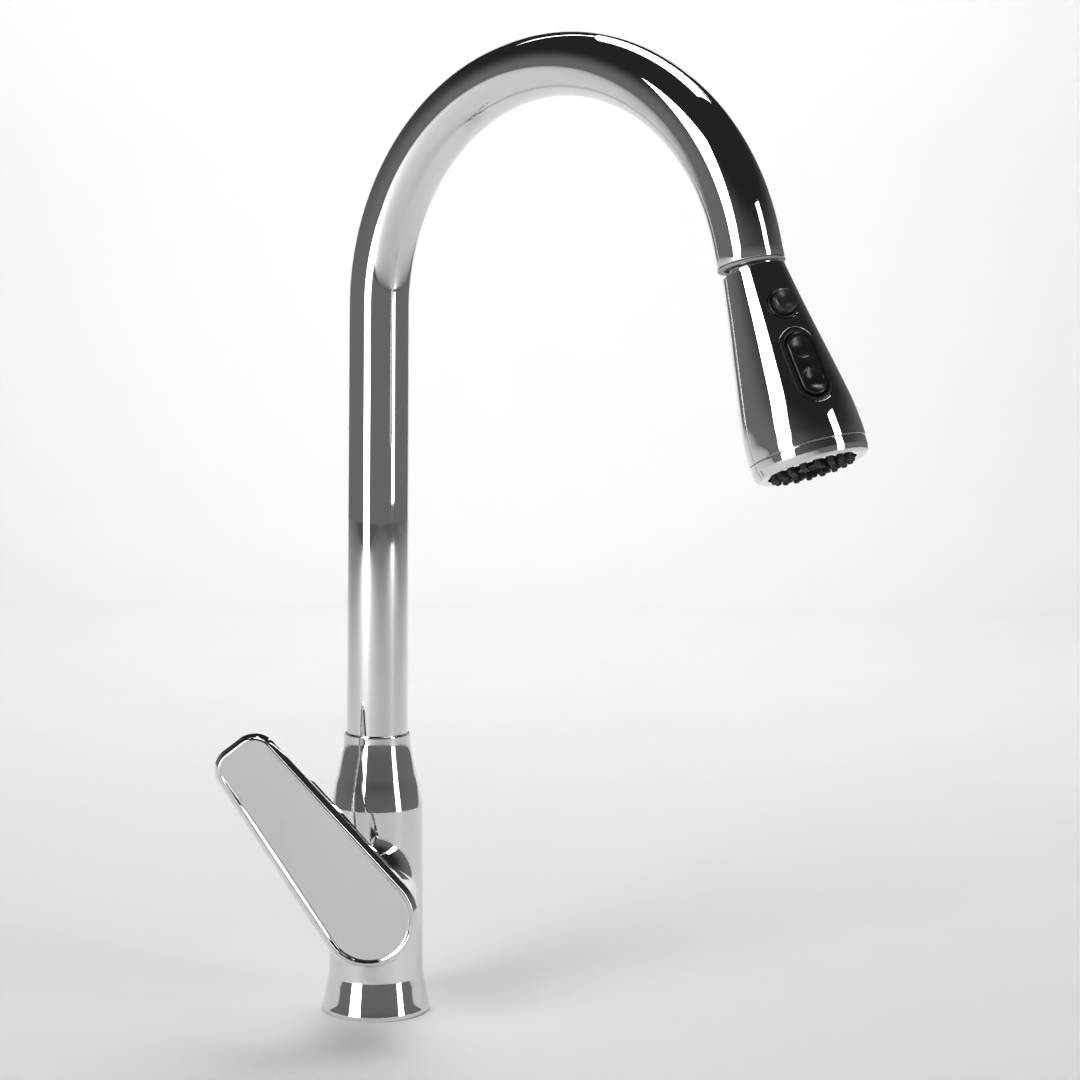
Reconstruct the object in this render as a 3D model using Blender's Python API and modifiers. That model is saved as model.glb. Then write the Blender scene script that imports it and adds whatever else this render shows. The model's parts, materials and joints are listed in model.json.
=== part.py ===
"""Pull down kitchen faucet: a side-lever mixer body, a swivelling gooseneck and a pull-out spray head.

Sizes below are in millimetres and angles in degrees; the helpers turn them into metres and radians.
The origin is the centre of the foot on the worktop, +Z runs up the riser, and the lever faces -Y.
At rest the spout is swung towards the front and the lever leans to the left, which is its closed place.
"""

from math import acos, atan2, cos, pi, radians, sin, sqrt

import bmesh
import bpy
from mathutils import Matrix, Vector

MM = 0.001
GAP = 0.3

# Body of revolution on the riser axis
FOOT_R = 25.6
WAIST_R = 22.3
SHOULDER_R = 21.8
SHOULDER_Z = 103.0
COLLAR_R = 15.7
COLLAR_Z = 133.0
SHANK_BORE_R = 14.3
SHANK_BORE_TOP = 24.0
HOSE_PASSAGE_R = 7.2
SWIVEL_BORE_R = 13.0
SWIVEL_BORE_BOTTOM = 79.0
TUBE_SOCKET_R = 14.95
TUBE_SOCKET_BOTTOM = 104.0

# Valve boss, square to the body, towards the front
VALVE_Z = 56.0
PIVOT_Y = 32.0
BOSS_R = 20.3
CHAMBER_R = 17.7
CHAMBER_FLOOR = -22.5
BOSS_END = 8.0
PORT_R = 1.9
PORT_PITCH_R = 12.2

# Under the worktop
WORKTOP = 25.0
SHANK_R = 14.0
SHANK_INNER_R = 10.5
SHANK_BOTTOM = -62.0

# Spout
TUBE_R = 14.0
TUBE_FOOT_R = 14.5
TUBE_WALL = 1.3
TUBE_FOOT_Z = 106.2
RISER_TOP_Z = 332.8
ARC_R = 104.5
ARC_SWEEP = 165.7
SPOUT_END_STRAIGHT = 9.2
SPOUT_AZIMUTH = -39.5
HOSE_R = 5.5

# Spray head; distances along it are counted from the mouth of the spout
HEAD_TILT = 21.0
HEAD_TURN = -30.0
FACE_RING_TOP = 81.3
HEAD_LENGTH = 88.0
SHELL_WALL = 2.0
SHELL_STATIONS = [(4.0, 13.2), (22.0, 16.0), (45.4, 20.1), (64.0, 23.2), (75.0, 24.2), (81.0, 24.3)]
PAUSE_S = 23.0
PAUSE_HOLE_R = 6.5
ROCKER_S = 49.8
ROCKER_HOLE = (33.0, 16.0)
SPOOL_RADIAL = 9.6
NOZZLE_RINGS = [(15.8, 20), (10.8, 12)]

# Lever paddle, in the plane square to the valve axis
LEVER_LEAN = 38.0
LEVER_HUB_R = 22.8
LEVER_LENGTH_TO_TIP = 100.5
LEVER_TIP_HALF_WIDTH = 15.8
LEVER_TIP_CORNER_R = 11.0
LEVER_FACE = 23.0
LEVER_BACK = 18.3
LEVER_RIM_BACK = 14.0
LEVER_WALL = 1.8
LEVER_HUB_SOCKET_R = 8.4

CHROME = ("chrome", (0.78, 0.79, 0.80), 0.05, 1.0)
BRASS = ("brass", (0.72, 0.55, 0.28), 0.30, 1.0)
STEEL = ("steel", (0.56, 0.57, 0.58), 0.28, 1.0)
BLACK = ("black_plastic", (0.012, 0.013, 0.015), 0.35, 0.0)
GREY = ("grey_plastic", (0.47, 0.47, 0.52), 0.45, 0.0)
WHITE = ("white_plastic", (0.80, 0.80, 0.78), 0.45, 0.0)
RUBBER = ("black_rubber", (0.018, 0.018, 0.018), 0.75, 0.0)
CERAMIC = ("ceramic", (0.86, 0.84, 0.78), 0.20, 0.0)
HOSE = ("hose_braid", (0.20, 0.20, 0.21), 0.55, 0.0)


# --- Scene and materials ---------------------------------------------------------------------------

def clear_scene():
    for obj in list(bpy.data.objects):
        bpy.data.objects.remove(obj, do_unlink=True)


def new_collection(name):
    collection = bpy.data.collections.new(name)
    bpy.context.scene.collection.children.link(collection)
    return collection


def material(look):
    name, colour, roughness, metallic = look
    found = bpy.data.materials.get(name)
    if found:
        return found
    made = bpy.data.materials.new(name)
    made.use_nodes = True
    shader = made.node_tree.nodes["Principled BSDF"]
    shader.inputs["Base Color"].default_value = (*colour, 1.0)
    shader.inputs["Roughness"].default_value = roughness
    shader.inputs["Metallic"].default_value = metallic
    return made


def add_object(name, data, parent, collection=None):
    obj = bpy.data.objects.new(name, data)
    (collection or PARTS).objects.link(obj)
    obj.parent = parent
    return obj


def empty(name, parent=None, at=(0, 0, 0), turn=(0, 0, 0)):
    obj = add_object(name, None, parent)
    obj.location = Vector(at) * MM
    obj.rotation_euler = [radians(a) for a in turn]
    return obj


def finish_part(obj, look, smooth_angle=35.0):
    obj.data.materials.append(material(look))
    if obj.type == "MESH":
        obj.data.shade_smooth()
        obj.data.set_sharp_from_angle(angle=radians(smooth_angle))
    return obj


def as_cutter(obj):
    for collection in list(obj.users_collection):
        collection.objects.unlink(obj)
    CUTTERS.objects.link(obj)
    obj.hide_render = True
    obj.display_type = "WIRE"
    return obj


# --- Shape helpers ---------------------------------------------------------------------------------

def arc(centre, radius, start, end, steps):
    """Points on a circle, from the start angle to the end angle in degrees."""
    angles = [radians(start + (end - start) * i / steps) for i in range(steps + 1)]
    return [(centre[0] + radius * cos(a), centre[1] + radius * sin(a)) for a in angles]


def smooth_through(stations, steps):
    """A Catmull-Rom curve through (x, y) stations, with this many steps between two of them."""
    ends = [stations[0]] + list(stations) + [stations[-1]]
    points = []
    for i in range(1, len(ends) - 2):
        p0, p1, p2, p3 = (Vector(p) for p in ends[i - 1:i + 3])
        for k in range(steps):
            t = k / steps
            point = (p1 * 2 + (p2 - p0) * t + (p0 * 2 - p1 * 5 + p2 * 4 - p3) * t ** 2
                     + (p1 * 3 - p0 - p2 * 3 + p3) * t ** 3) * 0.5
            points.append((point.x, point.y))
    points.append(tuple(stations[-1]))
    return points


def turned(name, profile, look, parent, steps=18, closed=True):
    """A profile of (radius, height) turned about Z. It runs down the outside; closed ones are rings."""
    mesh = bpy.data.meshes.new(name)
    count = len(profile)
    edges = [(i, i + 1) for i in range(count - 1)]
    if closed:
        edges.append((count - 1, 0))
    mesh.from_pydata([(r * MM, 0, z * MM) for r, z in profile], edges, [])
    obj = add_object(name, mesh, parent)
    screw = obj.modifiers.new("Turn", "SCREW")
    screw.axis = "Z"
    screw.steps = steps
    screw.render_steps = steps
    screw.use_merge_vertices = True
    screw.merge_threshold = 0.00001
    screw.use_smooth_shade = True
    obj.data.materials.append(material(look))
    return obj


def ring(name, outer, inner, low, high, look, parent, steps=18, chamfer=0.0):
    """A plain ring between two heights, with its outer edges broken by a chamfer."""
    c = chamfer
    profile = [(outer - c, high), (outer, high - c), (outer, low + c), (outer - c, low), (inner, low), (inner, high)]
    if not c:
        profile = [(outer, high), (outer, low), (inner, low), (inner, high)]
    return turned(name, profile, look, parent, steps)


def rod(name, radius, low, high, look, parent, steps=16, chamfer=0.0):
    """A solid round bar between two heights."""
    c = chamfer
    profile = [(0, high), (radius - c, high), (radius, high - c), (radius, low + c), (radius - c, low), (0, low)]
    if not c:
        profile = [(0, high), (radius, high), (radius, low), (0, low)]
    return turned(name, profile, look, parent, steps, closed=False)


def torus(name, major, minor, height, look, parent, steps=16, around=5):
    profile = [(x, y) for x, y in reversed(arc((major, height), minor, 0, 360, around)[:-1])]
    return turned(name, profile, look, parent, steps)


def box(name, size, centre, look, parent, bevel=0.0):
    mesh = bpy.data.meshes.new(name)
    shape = bmesh.new()
    bmesh.ops.create_cube(shape, size=1.0)
    bmesh.ops.scale(shape, vec=Vector(size) * MM, verts=shape.verts)
    bmesh.ops.translate(shape, vec=Vector(centre) * MM, verts=shape.verts)
    shape.to_mesh(mesh)
    shape.free()
    obj = add_object(name, mesh, parent)
    if bevel:
        edge = obj.modifiers.new("Edges", "BEVEL")
        edge.width = bevel * MM
        edge.segments = 2
    return finish_part(obj, look)


def bar_through(name, radius, length, centre, direction, parent, sides=16):
    """A round bar about any direction, centred on a point, made as a mesh for cutting or joining."""
    mesh = bpy.data.meshes.new(name)
    shape = bmesh.new()
    bmesh.ops.create_cone(shape, cap_ends=True, segments=sides, radius1=radius * MM, radius2=radius * MM,
                          depth=length * MM)
    turn = Vector((0, 0, 1)).rotation_difference(Vector(direction)).to_matrix().to_4x4()
    shape.transform(Matrix.Translation(Vector(centre) * MM) @ turn)
    shape.to_mesh(mesh)
    shape.free()
    return add_object(name, mesh, parent)


def outline_solid(name, points, low, high, look, parent):
    """A flat outline in X and Y, filled and carried from one height to the other."""
    mesh = bpy.data.meshes.new(name)
    shape = bmesh.new()
    floor = shape.faces.new([shape.verts.new((x * MM, y * MM, low * MM)) for x, y in points])
    raised = bmesh.ops.extrude_face_region(shape, geom=[floor])
    moved = [g for g in raised["geom"] if isinstance(g, bmesh.types.BMVert)]
    bmesh.ops.translate(shape, vec=(0, 0, (high - low) * MM), verts=moved)
    bmesh.ops.recalc_face_normals(shape, faces=shape.faces)
    shape.to_mesh(mesh)
    shape.free()
    return finish_part(add_object(name, mesh, parent), look)


def pill(length, width, steps=8):
    """A round-ended slot outline, its long side along X."""
    r = width / 2
    reach = length / 2 - r
    return arc((reach, 0), r, -90, 90, steps) + arc((-reach, 0), r, 90, 270, steps)


def boolean(obj, other, operation):
    step = obj.modifiers.new(operation.title(), "BOOLEAN")
    step.operation = operation
    step.solver = "EXACT"
    step.object = as_cutter(other)
    return obj


def cut(obj, *others):
    for other in others:
        boolean(obj, other, "DIFFERENCE")
    return obj


def join(obj, *others):
    for other in others:
        boolean(obj, other, "UNION")
    return obj


def path_tube(name, points, radii, parent, sides, look):
    """A round bar along a path, as a mesh with its caps welded on."""
    curve = bpy.data.curves.new(name, "CURVE")
    curve.dimensions = "3D"
    curve.twist_mode = "MINIMUM"
    curve.bevel_depth = MM
    curve.bevel_resolution = sides // 2 - 2
    curve.use_fill_caps = True
    curve.render_resolution_u = 0
    spline = curve.splines.new("POLY")
    spline.points.add(len(points) - 1)
    for place, point, radius in zip(spline.points, points, radii):
        place.co = (*(Vector(point) * MM), 1.0)
        place.radius = radius
    drawn = add_object(name + "_path", curve, parent)
    bpy.context.view_layer.update()
    evaluated = drawn.evaluated_get(bpy.context.evaluated_depsgraph_get())
    mesh = bpy.data.meshes.new_from_object(evaluated)
    shape = bmesh.new()
    shape.from_mesh(mesh)
    bmesh.ops.remove_doubles(shape, verts=shape.verts, dist=0.000001)
    bmesh.ops.recalc_face_normals(shape, faces=shape.faces)
    shape.to_mesh(mesh)
    shape.free()
    mesh.name = name
    mesh.materials.clear()
    obj = add_object(name, mesh, parent)
    obj.matrix_world = drawn.matrix_world
    bpy.data.objects.remove(drawn, do_unlink=True)
    return finish_part(obj, look)


# --- Body, fixed to the worktop --------------------------------------------------------------------

def body_outline():
    """The outside of the cast body, from the collar down to the foot."""
    neck = smooth_through([(COLLAR_R, COLLAR_Z), (16.0, 126.5), (18.0, 114.5), (20.3, SHOULDER_Z)], 2)
    barrel = [(SHOULDER_R - 0.4, SHOULDER_Z - 2.2), (SHOULDER_R, SHOULDER_Z - 6), (22.0, 60), (WAIST_R, 24)]
    flare = smooth_through([(WAIST_R, 20), (23.1, 14.0), (24.8, 5.5), (FOOT_R, 2.2)], 2)
    return neck + barrel + flare + [(FOOT_R - 0.3, 0.6), (FOOT_R - 0.9, 0)]


def body_bore():
    """The inside of the body, from the foot up to the collar."""
    return [
        (19.0, 0), (19.0, 4.0), (SHANK_BORE_R, 4.0), (SHANK_BORE_R, SHANK_BORE_TOP),
        (HOSE_PASSAGE_R, SHANK_BORE_TOP), (HOSE_PASSAGE_R, SWIVEL_BORE_BOTTOM),
        (SWIVEL_BORE_R, SWIVEL_BORE_BOTTOM), (SWIVEL_BORE_R, TUBE_SOCKET_BOTTOM),
        (TUBE_SOCKET_R, TUBE_SOCKET_BOTTOM), (TUBE_SOCKET_R, COLLAR_Z),
    ]


def make_valve_body():
    body = turned("valve_body", body_outline() + body_bore(), CHROME, None, 28)
    boss = rod("boss_outside", BOSS_R, -(PIVOT_Y - 12.0), BOSS_END, CHROME, VALVE, 26, 0.6)
    chamber = rod("chamber_cut", CHAMBER_R, CHAMBER_FLOOR, BOSS_END + 2, BRASS, VALVE, 24)
    ports = [bar_through(f"port_cut_{i}", PORT_R, 26.0,
                         (PORT_PITCH_R * cos(radians(a)), PORT_PITCH_R * sin(radians(a)), 33.0), (0, 0, 1), None)
             for i, a in enumerate((-135, -90, -45))]
    grub = bar_through("grub_cut", 2.3, 12.0, (0, 18.0, 92.0), (0, 1, 0), None)
    cut(body, grub, *ports)
    join(body, boss)
    return cut(body, chamber)


def make_under_worktop():
    torus("base_gasket", 17.0, 1.6, 1.9, RUBBER, None)
    ring("threaded_shank", SHANK_R, SHANK_INNER_R, SHANK_BOTTOM, SHANK_BORE_TOP - GAP, BRASS, None, 24, 0.8)
    top = -WORKTOP
    ring("rubber_washer", 26.0, SHANK_R + 0.5, top - 3.0, top, RUBBER, None, 24, 0.4)
    ring("steel_washer", 26.0, SHANK_R + 0.5, top - 5.3, top - 3.3, STEEL, None, 24, 0.3)
    nut = outline_solid("mounting_nut", arc((0, 0), 21.0, 0, 360, 6)[:-1], top - 17.6, top - 5.6, BRASS, None)
    cut(nut, rod("nut_bore_cut", SHANK_R + 0.4, top - 19, top - 4, BRASS, None, 24))
    ring("hose_supply_nut", 7.6, 3.2, SHANK_BOTTOM - 14.0, SHANK_BOTTOM - 1.0, BRASS, None, 6)


def make_cartridge():
    floor = CHAMBER_FLOOR
    ring("cartridge_seal", 16.0, 13.6, floor + 0.3, floor + 1.3, RUBBER, VALVE)
    base = rod("cartridge_base", 17.3, floor + 1.6, floor + 5.0, WHITE, VALVE)
    disc = rod("ceramic_fixed_disc", 14.4, floor + 5.3, floor + 7.8, CERAMIC, VALVE)
    for part in (base, disc):
        for i, a in enumerate((90, 210, 330)):
            place = (7.5 * cos(radians(a)), 7.5 * sin(radians(a)), floor + 5)
            cut(part, bar_through(f"{part.name}_port_{i}", 2.4, 20, place, (0, 0, 1), VALVE, 12))
    turned("cartridge_housing", [(17.3, 0.5), (17.3, floor + 5.3), (15.3, floor + 5.3), (15.3, -2.0), (12.35, -2.0),
                                 (12.35, 0.5)], WHITE, VALVE)
    ring("bonnet_nut", 17.3, 12.9, 0.8, 7.2, BRASS, VALVE, 24, 0.5)
    turned("dome_cap", [(14.9, 11.0), (16.2, 11.0), (18.4, 10.2), (20.0, 9.0), (20.4, 8.3), (14.9, 8.3)],
           CHROME, VALVE, 24)
    bar_along_y = bar_through("spout_grub_screw", 2.0, 5.0, (0, 18.2, 92.0), (0, 1, 0), None)
    finish_part(bar_along_y, STEEL)
    cut(bar_along_y, bar_through("grub_socket_cut", 1.0, 5.0, (0, 21.5, 92.0), (0, 1, 0), None, 6))


# --- Parts that turn with the lever ----------------------------------------------------------------

def make_turret():
    turret = turned("cartridge_turret", [(0, 5.0), (12.0, 5.0), (12.0, -2.4), (14.7, -2.4), (14.7, -6.9), (0, -6.9)],
                    BLACK, LEVER_TURN, 18, closed=False)
    cut(turret, box("turret_slot_cut", (8.8, 14.4, 16.0), (0, 0, -1.0), BLACK, LEVER_TURN),
        bar_through("turret_pin_cut", 1.8, 40, (0, 0, 0), (1, 0, 0), LEVER_TURN, 12))
    finish_part(bar_through("stem_pin", 1.5, 21.0, (0, 0, 0), (1, 0, 0), LEVER_TURN, 12), STEEL)


def make_disc_group():
    floor = CHAMBER_FLOOR
    rod("ceramic_moving_disc", 11.0, floor + 8.1, floor + 10.6, CERAMIC, DISC_SLIDE, 20)
    driver = rod("disc_driver", 11.0, floor + 10.9, floor + 15.2, BLACK, DISC_SLIDE, 20)
    cut(driver, rod("driver_socket_cut", 3.8, floor + 9.0, floor + 17, BLACK, DISC_SLIDE, 16))


# --- Lever ------------------------------------------------------------------------------------------

def lever_outline(inset=0.0, steps=20):
    """A round heel and a squarer tip, joined by straight tapering sides; the long axis is Y."""
    corner_y = LEVER_LENGTH_TO_TIP - LEVER_TIP_CORNER_R
    corner_x = LEVER_TIP_HALF_WIDTH - LEVER_TIP_CORNER_R
    heel_r = LEVER_HUB_R - inset
    tip_r = LEVER_TIP_CORNER_R - inset
    reach = sqrt(corner_x ** 2 + corner_y ** 2)
    side = 90 - (acos((heel_r - tip_r) / reach) + atan2(corner_x, corner_y)) * 180 / pi
    right = arc((corner_x, corner_y), tip_r, side, 90, 6)
    left = [(-x, y) for x, y in reversed(right)]
    return right + left + arc((0, 0), heel_r, 180 - side, 360 + side, steps)


def make_stem():
    stem = box("valve_stem", (8.0, 7.0, 23.8), (0, 0, 5.8), STEEL, LEVER_TILT, 0.4)
    ball = bar_through("stem_foot", 2.8, 6.0, (0, 0, -8.0), (0, 0, 1), LEVER_TILT, 16)
    join(stem, ball)
    cut(stem, bar_through("stem_pin_cut", 1.85, 20, (0, 0, 0), (1, 0, 0), LEVER_TILT, 12))


def make_lever():
    lever = outline_solid("lever_handle", lever_outline(), LEVER_RIM_BACK, LEVER_FACE, CHROME, LEVER_TILT)
    pocket = outline_solid("lever_pocket_cut", lever_outline(LEVER_WALL), LEVER_RIM_BACK - 3, LEVER_BACK, CHROME,
                           LEVER_TILT)
    dish = outline_solid("lever_dish_cut", lever_outline(3.0), LEVER_FACE - 0.8, LEVER_FACE + 3, CHROME, LEVER_TILT)
    cut(lever, pocket, dish)
    join(lever, rod("lever_hub", LEVER_HUB_SOCKET_R, 12.6, LEVER_BACK + 1, CHROME, LEVER_TILT, 20))
    cut(lever, box("lever_socket_cut", (8.7, 7.7, 12.0), (0, 0, 12.1), CHROME, LEVER_TILT),
        bar_through("lever_screw_cut", 1.6, 8.0, (0, -7.0, 15.4), (0, 1, 0), LEVER_TILT, 12),
        bar_through("lever_plug_cut", 2.6, 6.0, (0, -LEVER_HUB_R, 16.2), (0, 1, 0), LEVER_TILT, 16))
    screw = finish_part(bar_through("lever_set_screw", 1.3, 3.9, (0, -5.9, 15.4), (0, 1, 0), LEVER_TILT, 12), STEEL)
    cut(screw, bar_through("lever_screw_hex_cut", 0.6, 2.0, (0, -8.0, 15.4), (0, 1, 0), LEVER_TILT, 6))
    finish_part(bar_through("set_screw_plug", 2.3, 2.2, (0, 1.3 - LEVER_HUB_R, 16.2), (0, 1, 0), LEVER_TILT, 16),
                RUBBER)


# --- Spout ------------------------------------------------------------------------------------------

def spout_end():
    """The centre of the spout's mouth and the direction of its end, in the plane of the gooseneck."""
    sweep = radians(ARC_SWEEP)
    heading = Vector((sin(sweep), 0, cos(sweep)))
    top = Vector((ARC_R * (1 - cos(sweep)), 0, RISER_TOP_Z + ARC_R * sin(sweep)))
    return top + heading * SPOUT_END_STRAIGHT, heading


def gooseneck_path(start_z, end_cut, arc_steps):
    """Centre line of the riser, the arc and its straight end, stopping short of the mouth by end_cut."""
    points = [(0, 0, start_z), (0, 0, RISER_TOP_Z)]
    for i in range(1, arc_steps + 1):
        a = radians(ARC_SWEEP) * i / arc_steps
        points.append((ARC_R * (1 - cos(a)), 0, RISER_TOP_Z + ARC_R * sin(a)))
    mouth, heading = spout_end()
    points.append(tuple(mouth - heading * end_cut))
    return points


def make_gooseneck():
    outer = gooseneck_path(TUBE_FOOT_Z, 0.0, 20)
    radii = [TUBE_FOOT_R] + [TUBE_R] * (len(outer) - 1)
    tube = path_tube("gooseneck_tube", outer, radii, SPOUT, 14, CHROME)
    inner = gooseneck_path(TUBE_FOOT_Z - 3.0, -3.0, 20)
    radii = [TUBE_FOOT_R - TUBE_WALL] + [TUBE_R - TUBE_WALL] * (len(inner) - 1)
    cut(tube, path_tube("gooseneck_bore_cut", inner, radii, SPOUT, 14, CHROME))


def make_spout_foot():
    turned("swivel_sleeve", [(12.7, 118.0), (12.7, 106.2), (12.5, 106.2), (12.5, 97.2), (11.2, 97.2), (11.2, 94.8),
                             (12.5, 94.8), (12.5, 89.2), (11.2, 89.2), (11.2, 86.8), (12.5, 86.8), (12.5, 80.0),
                             (9.5, 80.0), (9.5, 118.0)], BRASS, SPOUT, 20)
    torus("sleeve_o_ring_upper", 12.05, 0.65, 96.0, RUBBER, SPOUT)
    torus("sleeve_o_ring_lower", 12.05, 0.65, 88.0, RUBBER, SPOUT)
    ring("glide_washer", 14.5, 13.3, TUBE_SOCKET_BOTTOM + GAP, TUBE_FOOT_Z - GAP, WHITE, SPOUT, 20)


def make_docking_ring():
    """A grey guide in the mouth of the spout: a thin visible flange and a sleeve up inside the tube."""
    inside = TUBE_R - TUBE_WALL - 0.7
    turned("docking_ring", [(inside, 11.0), (inside, -0.3), (TUBE_R, -0.3), (TUBE_R + 0.1, -0.8), (TUBE_R - 0.1, -1.3),
                            (11.3, -1.3), (11.3, 11.0)], GREY, MOUTH, 24)


def make_hose():
    """The spray hose, held by the shank, the riser and the arc, up to the fitting in the head."""
    points = gooseneck_path(SHANK_BOTTOM + 2.0, 0.0, 22)[:-3]
    mouth, _ = spout_end()
    axis = Vector((sin(radians(HEAD_TILT)), 0, -cos(radians(HEAD_TILT))))
    points += [tuple(mouth - axis * 24.0), tuple(mouth - axis * 15.4)]
    path_tube("spray_hose", points, [HOSE_R] * len(points), SPOUT, 8, HOSE)


# --- Spray head -------------------------------------------------------------------------------------

def head_profile(inset=0.0, steps=2):
    """Outline of the shell as (radius, height), from its top edge down; height is minus the distance."""
    return [(r - inset, -s) for s, r in smooth_through(SHELL_STATIONS, steps)]


def shell_radius(s):
    """Outside radius of the shell at this distance along the head."""
    curve = smooth_through(SHELL_STATIONS, 12)
    for (s0, r0), (s1, r1) in zip(curve, curve[1:]):
        if s0 <= s <= s1:
            return r0 + (r1 - r0) * (s - s0) / (s1 - s0)
    return curve[-1][1]


def button_frame(name, s):
    """An empty on the shell's surface, its Z along the outward normal and its X up the head."""
    slope = atan2(shell_radius(s + 3) - shell_radius(s - 3), 6.0)
    frame = empty(name, HEAD, (shell_radius(s), 0, -s))
    normal = Vector((cos(slope), 0, sin(slope)))
    up = Vector((-sin(slope), 0, cos(slope)))
    side = normal.cross(up)
    frame.matrix_local = Matrix.Translation(frame.location) @ Matrix((up, side, normal)).transposed().to_4x4()
    return frame


def make_hose_fitting():
    turned("hose_head_fitting", [(7.4, 14.0), (7.4, 2.0), (6.4, 2.0), (6.4, -10.0), (3.6, -10.0), (3.6, 14.0)],
           BRASS, HOSE_END, 20)


def make_head_shell():
    outside = head_profile()
    inside = [(r, z) for r, z in reversed(head_profile(SHELL_WALL))]
    shell = turned("head_shell", outside + inside, CHROME, HEAD, 28)
    pause_hole = rod("pause_hole_cut", PAUSE_HOLE_R, -9, 6, BLACK, PAUSE, 24)
    rocker_hole = outline_solid("rocker_hole_cut", pill(*ROCKER_HOLE), -12, 8, BLACK, ROCKER)
    cut(shell, pause_hole, rocker_hole)
    turned("head_neck", [(9.6, 13.0), (9.6, -2.8), (12.1, -3.1), (12.1, -3.7), (10.7, -3.7), (10.7, -9.0), (7.9, -9.0),
                         (7.9, 13.0)], CHROME, HEAD, 20)


def make_waterway():
    core = turned("waterway_core", [(3.0, -18.0), (6.4, -18.0), (6.4, -66.0), (20.6, -70.0), (20.6, -75.0),
                                    (18.6, -75.0), (18.6, -72.0), (3.0, -69.0)], BLACK, HEAD, 20)
    middle = -(ROCKER_S + 1.6)
    lobe = box("spool_housing", (9.0, 8.0, 25.0), (8.4, 0, middle), BLACK, HEAD)
    join(core, lobe)
    cut(core, bar_through("spool_bore_cut", 2.6, 34.0, (SPOOL_RADIAL, 0, middle), (0, 0, 1), HEAD, 16),
        box("spool_window_cut", (8.0, 3.4, 7.0), (SPOOL_RADIAL + 4.0, 0, middle), BLACK, HEAD))
    spool = rod("diverter_spool", 2.2, middle - 9.0, middle + 9.0, STEEL, SPOOL, 16)
    spool.location.x = SPOOL_RADIAL * MM
    cut(spool, box("spool_groove_cut", (6.0, 6.0, 3.6), (SPOOL_RADIAL + 2.4, 0, middle), STEEL, SPOOL))
    valve = turned("check_valve", [(5.6, -11.0), (5.6, -17.6), (2.4, -17.6), (2.4, -11.0)], WHITE, HEAD, 16)
    return valve


def make_pause_button():
    bezel = turned("pause_bezel", [(6.2, 0.5), (6.2, -4.6), (2.6, -4.6), (2.6, -3.8), (5.2, -3.8), (5.2, 0.5)],
                   BLACK, PAUSE, 20)
    button = turned("pause_button", [(0, 3.5), (3.6, 3.5), (4.4, 3.2), (4.8, 2.4), (4.8, -0.9), (2.1, -0.9),
                                     (2.1, -5.6), (0, -5.6)], BLACK, PAUSE, 20, closed=False)
    turns, steps = 3, 8
    coil = [(3.4 * cos(2 * pi * i / steps), 3.4 * sin(2 * pi * i / steps), -3.25 + 1.75 * i / (turns * steps))
            for i in range(turns * steps + 1)]
    path_tube("pause_spring", coil, [0.28] * len(coil), PAUSE, 6, STEEL)
    return bezel, button


def make_rocker():
    bezel = outline_solid("rocker_bezel", pill(32.4, 15.4), -4.6, -0.5, BLACK, ROCKER)
    cut(bezel, outline_solid("rocker_well_cut", pill(28.8, 11.8), -6, 2, BLACK, ROCKER),
        bar_through("rocker_bezel_pin_cut", 1.15, 20, (0, 0, -3.0), (0, 1, 0), ROCKER, 12))
    rocker = outline_solid("spray_rocker", pill(27.4, 11.2), -4.4, 1.0, BLACK, ROCKER)
    upper = bar_through("upper_dimple_cut", 4.1, 2.0, (6.9, 0, 1.4), (0, 0, 1), ROCKER, 20)
    lower = bar_through("lower_dimple_cut", 4.3, 2.0, (-6.9, 0, 0.9), (0, 0, 1), ROCKER, 20)
    peg = bar_through("rocker_peg", 1.1, 6.4, (0, 0, -7.2), (0, 0, 1), ROCKER, 12)
    join(rocker, peg)
    cut(rocker, upper, lower,
        bar_through("rocker_pin_cut", 1.1, 20, (0, 0, -3.0), (0, 1, 0), ROCKER, 12))
    finish_part(bar_through("rocker_pin", 0.8, 14.6, (0, 0, -3.0), (0, 1, 0), ROCKER, 12), STEEL)


def nozzle_pegs(name, radius, low, high):
    """One mesh that holds a short five-sided bar at each nozzle."""
    mesh = bpy.data.meshes.new(name)
    shape = bmesh.new()
    for ring_r, count in NOZZLE_RINGS:
        for i in range(count):
            a = 2 * pi * i / count
            place = Vector((ring_r * cos(a), ring_r * sin(a), (low + high) / 2)) * MM
            bmesh.ops.create_cone(shape, cap_ends=True, segments=5, radius1=radius * MM, radius2=radius * MM,
                                  depth=(high - low) * MM, matrix=Matrix.Translation(place))
    shape.to_mesh(mesh)
    shape.free()
    return add_object(name, mesh, HEAD)


def make_face():
    end = -HEAD_LENGTH
    turned("face_ring", [(21.7, end + 14.0), (21.7, -FACE_RING_TOP), (24.0, -FACE_RING_TOP), (23.9, end + 3.2),
                         (23.3, end + 1.0), (22.3, end), (18.4, end), (18.4, end + 3.4), (20.3, end + 3.4),
                         (20.3, end + 11.4), (20.9, end + 11.4), (20.9, end + 14.0)], CHROME, HEAD, 28)
    torus("face_o_ring", 18.8, 0.7, end + 10.7, RUBBER, HEAD)
    plate = turned("nozzle_plate", [(6.0, end + 6.4), (19.8, end + 6.4), (19.8, end + 3.7), (18.1, end + 3.7),
                                    (18.1, end + 0.5), (6.0, end + 0.5)], BLACK, HEAD, 24)
    cut(plate, nozzle_pegs("nozzle_holes_cut", 1.65, end - 2, end + 9))
    mat = ring("spray_nozzles", 19.4, 6.2, end + 6.7, end + 8.7, RUBBER, HEAD, 20)
    join(mat, nozzle_pegs("nozzle_tips", 1.3, end - 2.0, end + 8.0))
    ring("aerator_insert", 5.7, 2.6, end + 0.2, end + 8.5, BLACK, HEAD, 16, 0.4)


# --- The whole faucet -------------------------------------------------------------------------------

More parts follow.
